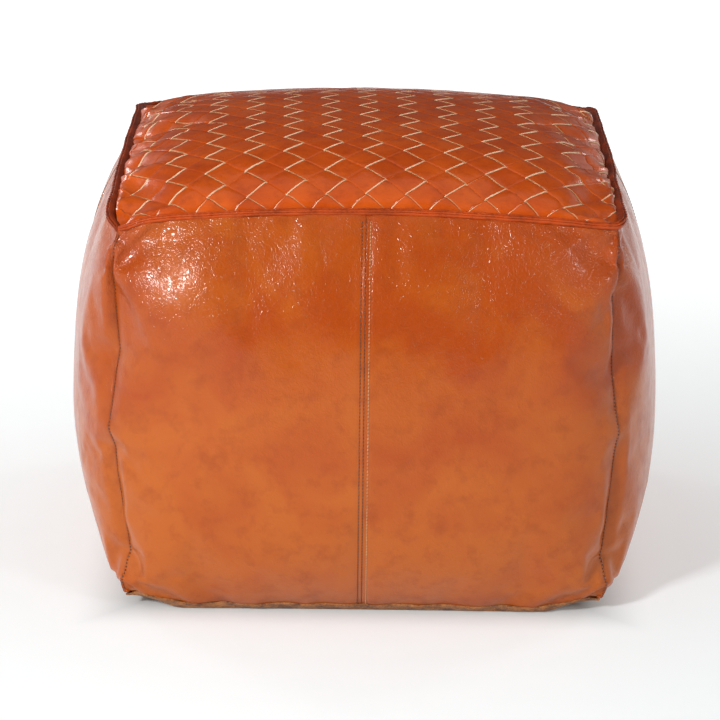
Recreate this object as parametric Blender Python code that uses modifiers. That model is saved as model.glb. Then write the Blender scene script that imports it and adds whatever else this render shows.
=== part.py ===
"""Moroccan leather pouf: a stuffed cube with a woven leather top.

The cover is eight side half panels, a woven top panel, a folded leather
piping round the top edge and two suede bottom panels with a zip between
them.  Inside the cover lie the top's backing cloth, a crown pad of wadding
and a cotton inner bag full of loose filling.  The zip's slider runs along
the bottom, and its pull tab swings on the slider.

Units are metres, +Z is up, the front faces -Y, and the origin is on the
floor under the middle of the pouf.
"""

import math

import bmesh
import bpy

for leftover in list(bpy.data.objects):
    bpy.data.objects.remove(leftover, do_unlink=True)

# --- driving dimensions ----------------------------------------------------

OBJECT_NAME = "moroccan_leather_pouf"

TOP_CORNER_HALF = 0.2300     # half width, corner to corner, along the piping
MID_CORNER_HALF = 0.2247     # the same half way up a corner seam
FOOT_CORNER_HALF = 0.2260    # the same at the bottom seam
EDGE_HEIGHT = 0.382          # top seam, at the middle of a side
CORNER_DROP = 0.013          # how much lower the top corners hang
CORNER_LIFT = 0.011          # the bottom corners stand this far off the floor
LIFT_START = 0.72            # where the lift begins, as a share of s times t
CROWN_HEIGHT = 0.0415        # dome of the woven top above its edge
SWELL = (-0.0075, 0.0498, 0.0533, 0.0408, -0.004)   # sides' bulge, foot to top seam
SWELL_POWER = 0.42           # how square the bulge is across a side
CROWN_POWER = 0.60           # how square the dome is

LEATHER = 0.0020             # side panels
WEAVE = 0.0032               # two crossed strips
SUEDE = 0.0022               # bottom panels
CLOTH = 0.0008               # backing cloth, inner bag and zip tape
CROWN_PAD = 0.0120           # wadding under the woven top
TOUCH = 0.0004               # gap between layers that touch
SEAM_GAP = 0.0005            # gap between two panels at a seam
HALF_CELLS = 5               # grid cells across a half panel
SIDE_ROWS = 8                # and up it

PIPING_RADIUS = 0.0030
PIPING_CLEAR = 0.0034        # panel edges stop this far from the piping's line
PIPING_TURN = 0.006          # the piping rounds a corner from this far away
PIPING_STEPS = 10            # points along a side
TOP_CORNER_CUT = 0.018       # share taken off the woven panel's corners

BOTTOM_SEAM = 0.009          # height of the side panels' lower edge
RIM_RISE = 0.0062            # the bottom panels' rim turns up this far
RIM_BAND = 0.070             # over this share of the half width
BOTTOM_ROWS = 7

CHANNEL_LENGTH = 0.400       # opening between the bottom panels
CHANNEL_HALF = 0.0085        # half the gap between the suede edges
CHANNEL_CLOSE = 0.012        # the gap closes over this length at each end
ZIP_RISE = 0.0040            # the suede turns up this far at the zip
ZIP_BAND = 0.016             # over this distance

TAPE_LENGTH = 0.390
TAPE_INNER = 0.0033
TAPE_OUTER = 0.0150
TAPE_Z = 0.0066              # underside
COIL_START = -0.172
COIL_END = 0.174
COIL_INNER = 0.0008
COIL_OUTER = 0.0030
COIL_LOW = 0.0060
COIL_HIGH = 0.0080
STOP_LENGTH = 0.0030
STOP_LOW = 0.0056
STOP_HIGH = 0.0083

SLIDER_X = 0.166             # middle of the slider, zip closed
SLIDER_LENGTH = 0.012
SLIDER_HALF_WIDTH = 0.0046
SLIDER_PLATE = 0.0012
OUTER_PLATE_Z = 0.0042       # underside of the plate outside the coils
INNER_PLATE_Z = 0.0084       # underside of the plate inside them
FLANGE = 0.0012
FLANGE_DEPTH = 0.0008        # how far a flange stands from its plate
POST_HALF_WIDTH = 0.0005
POST_LENGTH = 0.0030
PIVOT_Z = 0.0023             # the pull tab's hinge line
PIVOT_RADIUS = 0.0005
LUG_INNER = 0.0013
LUG_OUTER = 0.0023
LUG_HALF_LENGTH = 0.0012
LUG_LOW = 0.0015
EYE_RADIUS = 0.0008
HEAD_RADIUS = 0.0014
HEAD_HALF_WIDTH = 0.0010
TAB_LENGTH = 0.026
TAB_START = 0.0030           # the wide part begins this far from the hinge
TAB_HALF_WIDTH = 0.0030
TAB_HALF_THICKNESS = 0.0006

BAG_INSET = 0.0048           # inner bag, in from the outer skin
BAG_TOP_INSET = 0.0190
BAG_FLOOR = 0.0105
BAG_MOUTH_HALF = 0.080       # half length of the slit that the filling goes in by

# --- the stuffed shape -----------------------------------------------------


def through(values, position):
    """Smooth curve through equally spaced values, for position -1 to 1."""
    last = len(values) - 1
    knots = [2.0 * index / last - 1.0 for index in range(last + 1)]
    total = 0.0
    for index, value in enumerate(values):
        weight = 1.0
        for other, knot in enumerate(knots):
            if other != index:
                weight *= (position - knot) / (knots[index] - knot)
        total += value * weight
    return total


def smooth(value):
    """Smooth step from 0 to 1 as value goes from 0 to 1."""
    share = min(1.0, max(0.0, value))
    return share * share * (3.0 - 2.0 * share)


def corner_lift(s, t):
    """Height of the underside above the floor at (s, t), -1 to 1."""
    return CORNER_LIFT * smooth((abs(s * t) - LIFT_START) / (1.0 - LIFT_START))


def skin(s, t, r, inset=0.0, top_inset=0.0, floor=0.0):
    """Point of the stuffed shape for a point (s, t, r) on the cube -1 to 1.

    inset draws the sides in, top_inset lowers the top, floor raises the foot.
    """
    half = through((FOOT_CORNER_HALF, MID_CORNER_HALF, TOP_CORNER_HALF), r) - inset
    swell = through(SWELL, r)
    across = max(0.0, 1.0 - s * s)
    along = max(0.0, 1.0 - t * t)
    x = s * (half + swell * along ** SWELL_POWER)
    y = t * (half + swell * across ** SWELL_POWER)
    top = EDGE_HEIGHT - CORNER_DROP * s * s * t * t - top_inset
    top += CROWN_HEIGHT * (across * along) ** CROWN_POWER
    foot = floor + corner_lift(s, t)
    z = foot + (top - foot) * (r + 1.0) / 2.0
    return x, y, z


def eased(value):
    """Spread even steps of value, -1 to 1, so that they crowd at the ends."""
    return math.sin(value * math.pi / 2.0)


def quarter_turns(point, count):
    """Turn a point round the Z axis by count quarter turns."""
    x, y, z = point
    for _ in range(count):
        x, y = -y, x
    return x, y, z


# --- materials and bookkeeping ---------------------------------------------

parts = bpy.data.collections.new(OBJECT_NAME)
bpy.context.scene.collection.children.link(parts)
cutters = bpy.data.collections.new("cutters")
bpy.context.scene.collection.children.link(cutters)


def finish(name, colour, roughness, metallic=0.0):
    """Principled material of one colour."""
    material = bpy.data.materials.new(name)
    material.use_nodes = True
    shader = material.node_tree.nodes["Principled BSDF"]
    shader.inputs["Base Color"].default_value = (*colour, 1.0)
    shader.inputs["Roughness"].default_value = roughness
    shader.inputs["Metallic"].default_value = metallic
    return material


TAN_LEATHER = finish("tan_leather", (0.52, 0.13, 0.03), 0.35)
WOVEN_LEATHER = finish("woven_leather", (0.46, 0.12, 0.03), 0.35)
DARK_LEATHER = finish("dark_piping_leather", (0.12, 0.03, 0.012), 0.45)
SUEDE_LEATHER = finish("suede", (0.27, 0.13, 0.06), 0.95)
COTTON = finish("cotton_cloth", (0.70, 0.64, 0.52), 0.90)
WADDING = finish("wadding", (0.85, 0.84, 0.80), 1.00)
TAPE_CLOTH = finish("zip_tape", (0.10, 0.05, 0.03), 0.85)
NYLON = finish("zip_nylon", (0.12, 0.06, 0.03), 0.45)
BRASS = finish("antique_brass", (0.42, 0.29, 0.13), 0.35, 1.0)


def to_object(name, shape, material, collection):
    """Turn a bmesh into an object whose faces point out."""
    bmesh.ops.recalc_face_normals(shape, faces=shape.faces[:])
    mesh = bpy.data.meshes.new(name)
    shape.to_mesh(mesh)
    shape.free()
    mesh.shade_smooth()
    mesh.set_sharp_from_angle(angle=math.radians(40.0))
    mesh.materials.append(material)
    result = bpy.data.objects.new(name, mesh)
    collection.objects.link(result)
    return result


def slab(cells_a, cells_b, put):
    """Grid with two layers; put(a, b, layer) gives each vertex its place."""
    shape = bmesh.new()
    bmesh.ops.create_grid(shape, x_segments=cells_a, y_segments=cells_b, size=1.0)
    pushed = bmesh.ops.extrude_face_region(shape, geom=shape.faces[:], use_keep_orig=True)
    second = {item for item in pushed["geom"] if isinstance(item, bmesh.types.BMVert)}
    for vertex in shape.verts:
        layer = 1.0 if vertex in second else 0.0
        vertex.co = put(vertex.co.x, vertex.co.y, layer)
    return shape


def block(name, low, high, material, collection):
    """Box from its lowest corner to its highest one."""
    shape = bmesh.new()
    bmesh.ops.create_cube(shape, size=1.0)
    for vertex in shape.verts:
        for axis in range(3):
            share = vertex.co[axis] + 0.5
            vertex.co[axis] = low[axis] + (high[axis] - low[axis]) * share
    return to_object(name, shape, material, collection)


def rod(name, centre, radius, half_length, material, collection):
    """Cylinder along Y."""
    shape = bmesh.new()
    bmesh.ops.create_cone(
        shape, segments=20, radius1=radius, radius2=radius, depth=2.0 * half_length, cap_ends=True
    )
    for vertex in shape.verts:
        x, y, z = vertex.co
        vertex.co = (centre[0] + x, centre[1] + z, centre[2] + y)
    return to_object(name, shape, material, collection)


def combine(part, tool, operation):
    """Cut a part with a tool, or join the tool to it."""
    tool.hide_render = True
    tool.display_type = "WIRE"
    change = part.modifiers.new(tool.name, "BOOLEAN")
    change.operation = operation
    change.object = tool


# --- side panels -------------------------------------------------------------


def side_half_panel(name, side, right_half):
    """Leather half panel from a side's centre seam to one of its corner seams.

    Sides 0 to 3 are front, right, back and left; right is seen from outside.
    """
    direction = 1.0 if right_half else -1.0

    def put(a, b, layer):
        share = (1.0 + a * direction) / 2.0
        s = direction * math.sin(share * math.pi / 2.0)
        top = EDGE_HEIGHT - CORNER_DROP * s * s - corner_lift(s, 1.0)
        low = 2.0 * BOTTOM_SEAM / top - 1.0
        high = 1.0 - 2.0 * PIPING_CLEAR / top
        r = (low + high) / 2.0 + (high - low) / 2.0 * eased(b)
        x, y, z = skin(s, -1.0, r, inset=layer * LEATHER)
        x += direction * SEAM_GAP / 2.0 * (1.0 - 2.0 * share)
        return quarter_turns((x, y, z), side)

    to_object(name, slab(HALF_CELLS, SIDE_ROWS, put), TAN_LEATHER, parts)


SIDES = (("front", "left", "right"), ("right", "front", "back"),
         ("back", "right", "left"), ("left", "back", "front"))
for side_index, (side_name, left_end, right_end) in enumerate(SIDES):
    side_half_panel(f"{side_name}_{left_end}_panel", side_index, False)
    side_half_panel(f"{side_name}_{right_end}_panel", side_index, True)

# --- top ---------------------------------------------------------------------


def top_layer(name, material, depth, thickness):
    """Domed square sheet whose upper face lies depth below the top skin."""
    reach = 1.0 - PIPING_CLEAR / TOP_CORNER_HALF

    def put(a, b, layer):
        s = eased(a)
        t = eased(b)
        wide = reach - TOP_CORNER_CUT * t ** 16
        deep = reach - TOP_CORNER_CUT * s ** 16
        return skin(s * wide, t * deep, 1.0, top_inset=depth + thickness * layer)

    cells = 2 * HALF_CELLS
    to_object(name, slab(cells, cells, put), material, parts)


BACKING_DEPTH = WEAVE + TOUCH
PAD_DEPTH = BACKING_DEPTH + CLOTH + TOUCH
top_layer("woven_top_panel", WOVEN_LEATHER, 0.0, WEAVE)
top_layer("top_backing_cloth", COTTON, BACKING_DEPTH, CLOTH)
top_layer("crown_pad", WADDING, PAD_DEPTH, CROWN_PAD)


def piping():
    """Tube round the top edge; its ends meet at the front left corner."""
    turn = 1.0 - PIPING_TURN / TOP_CORNER_HALF
    line = []
    for side in range(4):
        for step in range(PIPING_STEPS + 1):
            s = turn * eased(2.0 * step / PIPING_STEPS - 1.0)
            line.append(quarter_turns(skin(s, -1.0, 1.0), side))
    start = skin(-1.0, -1.0, 1.0)
    across = tuple((start[axis] + line[0][axis]) / 2.0 for axis in range(3))
    along = tuple((start[axis] + line[-1][axis]) / 2.0 for axis in range(3))
    line = [across] + line + [along]
    curve = bpy.data.curves.new("top_piping", "CURVE")
    curve.dimensions = "3D"
    curve.bevel_depth = PIPING_RADIUS
    curve.bevel_resolution = 2
    curve.use_fill_caps = True
    spline = curve.splines.new("POLY")
    spline.points.add(len(line) - 1)
    for point, place in zip(spline.points, line):
        point.co = (*place, 1.0)
    curve.materials.append(DARK_LEATHER)
    parts.objects.link(bpy.data.objects.new("top_piping", curve))


piping()

# --- bottom ------------------------------------------------------------------


def channel_half(x):
    """Half the gap between the suede edges at x."""
    end = CHANNEL_LENGTH / 2.0
    closing = smooth((abs(x) - end) / CHANNEL_CLOSE)
    return CHANNEL_HALF + (SEAM_GAP / 2.0 - CHANNEL_HALF) * closing


def bottom_panel(name, direction):
    """Suede half of the bottom, on the +Y side or the -Y side of the zip."""

    def put(a, b, layer):
        s = eased(a)
        edge = channel_half(s * FOOT_CORNER_HALF)
        share = (1.0 + eased(b)) / 2.0
        start = edge / FOOT_CORNER_HALF
        t = start + (1.0 - start) * share
        rim = smooth((max(abs(s), t) - 1.0 + RIM_BAND) / RIM_BAND)
        near_zip = smooth((CHANNEL_HALF + ZIP_BAND - t * FOOT_CORNER_HALF) / ZIP_BAND)
        open_here = edge / CHANNEL_HALF
        rise = RIM_RISE * rim + ZIP_RISE * near_zip * open_here * (1.0 - rim)
        x, y, _ = skin(s, t * direction, 2.0 * rise / EDGE_HEIGHT - 1.0)
        return x, y, corner_lift(s, t) + rise + layer * SUEDE

    to_object(name, slab(2 * HALF_CELLS, BOTTOM_ROWS, put), SUEDE_LEATHER, parts)


bottom_panel("bottom_back_panel", 1.0)
bottom_panel("bottom_front_panel", -1.0)

# --- zip ---------------------------------------------------------------------


def zip_side(side_name, direction):
    """Tape, coil and top stop on one side of the zip."""
    near, far = sorted((direction * TAPE_INNER, direction * TAPE_OUTER))
    end = TAPE_LENGTH / 2.0
    block(f"zip_{side_name}_tape", (-end, near, TAPE_Z), (end, far, TAPE_Z + CLOTH),
          TAPE_CLOTH, parts)
    near, far = sorted((direction * COIL_INNER, direction * COIL_OUTER))
    block(f"zip_{side_name}_coil", (COIL_START, near, COIL_LOW), (COIL_END, far, COIL_HIGH),
          NYLON, parts)
    start = COIL_END + SEAM_GAP
    block(f"zip_{side_name}_top_stop", (start, near, STOP_LOW),
          (start + STOP_LENGTH, far, STOP_HIGH), BRASS, parts)


zip_side("back", 1.0)
zip_side("front", -1.0)
block("zip_bottom_stop", (COIL_START - SEAM_GAP - STOP_LENGTH, -COIL_OUTER, STOP_LOW),
      (COIL_START - SEAM_GAP, COIL_OUTER, STOP_HIGH), BRASS, parts)


def zip_slider():
    """Two plates joined by a post, flanges round the coils, lugs and a pivot."""
    low_x = SLIDER_X - SLIDER_LENGTH / 2.0
    high_x = SLIDER_X + SLIDER_LENGTH / 2.0
    outer_top = OUTER_PLATE_Z + SLIDER_PLATE
    width = SLIDER_HALF_WIDTH
    slider = block("zip_slider", (low_x, -width, OUTER_PLATE_Z), (high_x, width, outer_top),
                   BRASS, parts)
    pieces = [
        block("slider_inner_plate", (low_x, -width, INNER_PLATE_Z),
              (high_x, width, INNER_PLATE_Z + SLIDER_PLATE), BRASS, cutters),
        block("slider_post", (high_x - POST_LENGTH, -POST_HALF_WIDTH, outer_top - TOUCH),
              (high_x, POST_HALF_WIDTH, INNER_PLATE_Z + TOUCH), BRASS, cutters),
        rod("slider_pivot", (SLIDER_X, 0.0, PIVOT_Z), PIVOT_RADIUS, LUG_INNER + TOUCH,
            BRASS, cutters),
    ]
    for direction in (-1.0, 1.0):
        side = "back" if direction > 0.0 else "front"
        near, far = sorted((direction * (width - FLANGE), direction * width))
        pieces.append(block(f"slider_{side}_outer_flange", (low_x, near, outer_top - TOUCH),
                            (high_x, far, outer_top + FLANGE_DEPTH), BRASS, cutters))
        pieces.append(block(f"slider_{side}_inner_flange", (low_x, near, INNER_PLATE_Z - FLANGE_DEPTH),
                            (high_x, far, INNER_PLATE_Z + TOUCH), BRASS, cutters))
        near, far = sorted((direction * LUG_INNER, direction * LUG_OUTER))
        pieces.append(block(f"slider_{side}_lug", (SLIDER_X - LUG_HALF_LENGTH, near, LUG_LOW),
                            (SLIDER_X + LUG_HALF_LENGTH, far, OUTER_PLATE_Z + TOUCH), BRASS, cutters))
    for piece in pieces:
        combine(slider, piece, "UNION")


def pull_tab():
    """Flat tab that lies along -X, with an eye round the slider's pivot."""
    axis = bpy.data.objects.new("pull_tab_axis", None)
    axis.location = (SLIDER_X, 0.0, PIVOT_Z)
    parts.objects.link(axis)
    tab = rod("zip_pull_tab", (0.0, 0.0, 0.0), HEAD_RADIUS, HEAD_HALF_WIDTH, BRASS, parts)
    neck = block("tab_neck", (-TAB_START - TOUCH, -HEAD_HALF_WIDTH, -TAB_HALF_THICKNESS),
                 (-EYE_RADIUS, HEAD_HALF_WIDTH, TAB_HALF_THICKNESS), BRASS, cutters)
    plate = block("tab_plate", (-TAB_LENGTH, -TAB_HALF_WIDTH, -TAB_HALF_THICKNESS),
                  (-TAB_START, TAB_HALF_WIDTH, TAB_HALF_THICKNESS), BRASS, cutters)
    rounding = plate.modifiers.new("rounded_edges", "BEVEL")
    rounding.width = TAB_HALF_THICKNESS / 2.0
    rounding.segments = 2
    eye = rod("tab_eye", (0.0, 0.0, 0.0), EYE_RADIUS, 2.0 * HEAD_HALF_WIDTH, BRASS, cutters)
    combine(tab, neck, "UNION")
    combine(tab, plate, "UNION")
    combine(tab, eye, "DIFFERENCE")
    for piece in (tab, neck, plate, eye):
        piece.parent = axis


zip_slider()
pull_tab()

# --- inside ------------------------------------------------------------------


def stuffed_cube():
    """Cube whose faces are grids of points (s, t, r), -1 to 1."""
    shape = bmesh.new()
    bmesh.ops.create_cube(shape, size=2.0)
    bmesh.ops.subdivide_edges(
        shape, edges=shape.edges[:], cuts=2 * HALF_CELLS - 1, use_grid_fill=True
    )
    for vertex in shape.verts:
        vertex.co = [eased(value) for value in vertex.co]
    return shape


def inner_bag():
    """Cotton bag with a slit in its floor, open on the filling."""
    shape = stuffed_cube()
    reach = BAG_MOUTH_HALF / FOOT_CORNER_HALF
    mouth = [
        face for face in shape.faces
        if face.normal.z < -0.9
        and abs(face.calc_center_median().x) < reach
        and 0.0 < face.calc_center_median().y < reach
    ]
    bmesh.ops.delete(shape, geom=mouth, context="FACES")
    pushed = bmesh.ops.extrude_face_region(shape, geom=shape.faces[:], use_keep_orig=True)
    lining = {item for item in pushed["geom"] if isinstance(item, bmesh.types.BMVert)}
    for vertex in shape.verts:
        depth = CLOTH if vertex in lining else 0.0
        vertex.co = skin(*vertex.co, inset=BAG_INSET + depth,
                         top_inset=BAG_TOP_INSET + depth, floor=BAG_FLOOR + depth)
    to_object("inner_bag", shape, COTTON, parts)


def filling():
    """Shredded filling, one solid that the bag wraps."""
    shape = stuffed_cube()
    depth = CLOTH + TOUCH
    for vertex in shape.verts:
        vertex.co = skin(*vertex.co, inset=BAG_INSET + depth,
                         top_inset=BAG_TOP_INSET + depth, floor=BAG_FLOOR + depth)
    to_object("filling", shape, WADDING, parts)


inner_bag()
filling()
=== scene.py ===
"""Stuffed leather pouf with a woven top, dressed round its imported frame.

The cover's form comes from one cloth simulation: a closed box of cloth is
held along its piping and its foot, and is blown up against its seams.  Every
piece of the cover is then cut from that form, as a maker cuts it from hides:
eight side half panels, fifty or so crossed strips, the folded piping, the
suede bottom, and the cloth and wadding inside.
"""
import logging
import math
from collections.abc import Callable, Sequence
from dataclasses import dataclass, field
from enum import Enum

import bpy
import numpy as np
from mathutils import Matrix, Vector, noise


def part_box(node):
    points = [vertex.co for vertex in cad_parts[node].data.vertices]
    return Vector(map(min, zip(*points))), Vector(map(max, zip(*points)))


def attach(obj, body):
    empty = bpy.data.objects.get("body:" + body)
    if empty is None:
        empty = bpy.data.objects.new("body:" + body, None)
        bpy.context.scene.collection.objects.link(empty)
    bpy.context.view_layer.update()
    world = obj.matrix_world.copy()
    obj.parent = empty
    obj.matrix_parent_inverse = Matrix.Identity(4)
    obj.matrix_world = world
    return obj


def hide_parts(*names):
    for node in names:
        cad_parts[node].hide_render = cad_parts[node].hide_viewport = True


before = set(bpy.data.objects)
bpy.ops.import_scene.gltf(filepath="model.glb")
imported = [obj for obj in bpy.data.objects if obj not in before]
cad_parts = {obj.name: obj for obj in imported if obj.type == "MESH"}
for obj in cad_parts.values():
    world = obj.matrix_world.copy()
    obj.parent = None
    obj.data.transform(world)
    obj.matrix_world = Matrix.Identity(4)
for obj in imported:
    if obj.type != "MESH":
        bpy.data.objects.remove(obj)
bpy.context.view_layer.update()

logging.basicConfig(level=logging.INFO, format="%(name)s: %(message)s")
LOG = logging.getLogger("pouf")

MM = 0.001
COVER = "cover"
UP = np.array([0.0, 0.0, 1.0])


# --- small helpers ------------------------------------------------------------


def smooth_step(value: np.ndarray) -> np.ndarray:
    """Smooth step from 0 to 1 as value goes from 0 to 1."""
    share = np.clip(value, 0.0, 1.0)
    return share * share * (3.0 - 2.0 * share)


def linear(colour: str) -> tuple[float, float, float, float]:
    """Linear RGBA of an sRGB colour written as #rrggbb."""
    parts = [int(colour[start:start + 2], 16) / 255.0 for start in (1, 3, 5)]
    red, green, blue = (
        part / 12.92 if part <= 0.04045 else ((part + 0.055) / 1.055) ** 2.4 for part in parts
    )
    return red, green, blue, 1.0


def start_clean() -> None:
    """Leave edit mode and deselect everything, so that an operator acts on new work only."""
    if bpy.context.object and bpy.context.object.mode != "OBJECT":
        bpy.ops.object.mode_set(mode="OBJECT")
    bpy.ops.object.select_all(action="DESELECT")


def pick(piece: bpy.types.Object) -> None:
    """Make a piece the only selected object, and the active one."""
    start_clean()
    piece.select_set(True)
    bpy.context.view_layer.objects.active = piece


def read_points(piece: bpy.types.Object) -> np.ndarray:
    """Vertex places of a piece as an array of rows x, y, z."""
    flat = np.empty(len(piece.data.vertices) * 3)
    piece.data.vertices.foreach_get("co", flat)
    return flat.reshape(-1, 3)


def write_points(piece: bpy.types.Object, points: np.ndarray) -> None:
    """Move the vertices of a piece to new places."""
    piece.data.vertices.foreach_set("co", np.ascontiguousarray(points, dtype=float).ravel())
    piece.data.update()


def apply_modifier(piece: bpy.types.Object, kind: str, **settings: object) -> None:
    """Add a modifier of one kind with its settings, and apply it."""
    pick(piece)
    modifier = piece.modifiers.new(kind.title(), kind)
    for name, value in settings.items():
        setattr(modifier, name, value)
    bpy.ops.object.modifier_apply(modifier=modifier.name)


def edit_all(piece: bpy.types.Object, *steps: Callable[[], object]) -> None:
    """Run edit-mode steps on a piece with all of it selected.

    Args:
        piece: The object to edit.
        steps: Calls without arguments, in order.
    """
    pick(piece)
    bpy.ops.object.mode_set(mode="EDIT")
    bpy.ops.mesh.select_all(action="SELECT")
    for step in steps:
        step()
    bpy.ops.object.mode_set(mode="OBJECT")


def shade(piece: bpy.types.Object, angle: float = 40.0) -> None:
    """Shade a piece smooth, apart from edges sharper than angle in degrees."""
    pick(piece)
    bpy.ops.object.shade_smooth_by_angle(angle=math.radians(angle))


def laid_grid(name: str, points: np.ndarray) -> bpy.types.Object:
    """Grid primitive whose vertices are moved to a net of points.

    Args:
        name: Name of the piece.
        points: Rows of columns of x, y, z. Seen from outside, columns go right and rows go up.

    Returns:
        The new piece.
    """
    rows, columns = points.shape[:2]
    start_clean()
    bpy.ops.mesh.primitive_grid_add(x_subdivisions=columns - 1, y_subdivisions=rows - 1, size=2.0)
    piece = bpy.context.object
    piece.name = piece.data.name = name
    flat = read_points(piece)
    column = np.rint((flat[:, 0] + 1.0) / 2.0 * (columns - 1)).astype(int)
    row = np.rint((flat[:, 1] + 1.0) / 2.0 * (rows - 1)).astype(int)
    write_points(piece, points[row, column])
    return piece


def joined(name: str, pieces: Sequence[bpy.types.Object]) -> bpy.types.Object:
    """Join pieces into the first of them, under a new name."""
    pick(pieces[0])
    for piece in pieces:
        piece.select_set(True)
    if len(pieces) > 1:
        bpy.ops.object.join()
    pieces[0].name = pieces[0].data.name = name
    return pieces[0]


def repeated(name: str, pattern: bpy.types.Object, places: np.ndarray,
             turns: np.ndarray) -> bpy.types.Object:
    """Copy a small pattern to many places, all in one mesh, and remove the pattern.

    Args:
        name: Name of the new piece.
        pattern: The modelled shape, at the origin.
        places: Array (count, 3) of where copies go.
        turns: Array (count, 3, 3) whose rows are each copy's own X, Y and Z directions.

    Returns:
        The new piece.
    """
    own = read_points(pattern)
    shapes = [np.array(face.vertices[:]) for face in pattern.data.polygons]
    points = np.einsum("vi,cij->cvj", own, turns) + places[:, None, :]
    faces = [(shape + copy * len(own)).tolist() for copy in range(len(places)) for shape in shapes]
    mesh = bpy.data.meshes.new(name)
    mesh.from_pydata(points.reshape(-1, 3).tolist(), [], faces)
    piece = bpy.data.objects.new(name, mesh)
    bpy.context.scene.collection.objects.link(piece)
    bpy.data.objects.remove(pattern, do_unlink=True)
    mesh.shade_smooth()
    return piece


def unit(vectors: np.ndarray) -> np.ndarray:
    """Vectors scaled to length one."""
    return vectors / np.maximum(np.linalg.norm(vectors, axis=-1, keepdims=True), 1e-9)


def rumple(points: np.ndarray, size: float, seed: float) -> np.ndarray:
    """Soft noise, about -1 to 1, at points in metres, for lumps of one size in metres."""
    shift = Vector((seed * 3.7, seed * 1.3, seed * 2.9))
    flat = points.reshape(-1, 3) / size
    values = [noise.noise(Vector(point) + shift) for point in flat]
    return np.array(values).reshape(points.shape[:-1])


# --- finishes -----------------------------------------------------------------


def feed(tree: bpy.types.NodeTree, node: bpy.types.Node, inputs: dict) -> None:
    """Set the sockets of a node.

    Args:
        tree: The node tree that the node is in.
        node: The node.
        inputs: Socket name or number to a value, or to the socket that feeds it.
    """
    for key, value in inputs.items():
        if isinstance(value, bpy.types.NodeSocket):
            tree.links.new(value, node.inputs[key])
        else:
            node.inputs[key].default_value = value


def add_node(tree: bpy.types.NodeTree, kind: str, inputs: dict | None = None,
             **settings: object) -> bpy.types.Node:
    """Add one shader node.

    Args:
        tree: The material's or world's node tree.
        kind: The node's type, such as ShaderNodeMix.
        inputs: Socket name or number to a value, or to the socket that feeds it.
        settings: The node's own properties.

    Returns:
        The node.
    """
    made = tree.nodes.new(kind)
    for name, value in settings.items():
        setattr(made, name, value)
    feed(tree, made, inputs or {})
    return made


def new_material(name: str) -> tuple[
        bpy.types.Material, bpy.types.NodeTree, bpy.types.Node, bpy.types.NodeSocket]:
    """New material with its node tree, its Principled shader and its Object coordinates."""
    material = bpy.data.materials.new(name)
    material.use_nodes = True
    tree = material.node_tree
    place = add_node(tree, "ShaderNodeTexCoord").outputs["Object"]
    return material, tree, tree.nodes["Principled BSDF"], place


MIX_FACTOR, MIX_A, MIX_B, MIX_RESULT = 0, 6, 7, 2   # colour sockets of the Mix node


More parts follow.
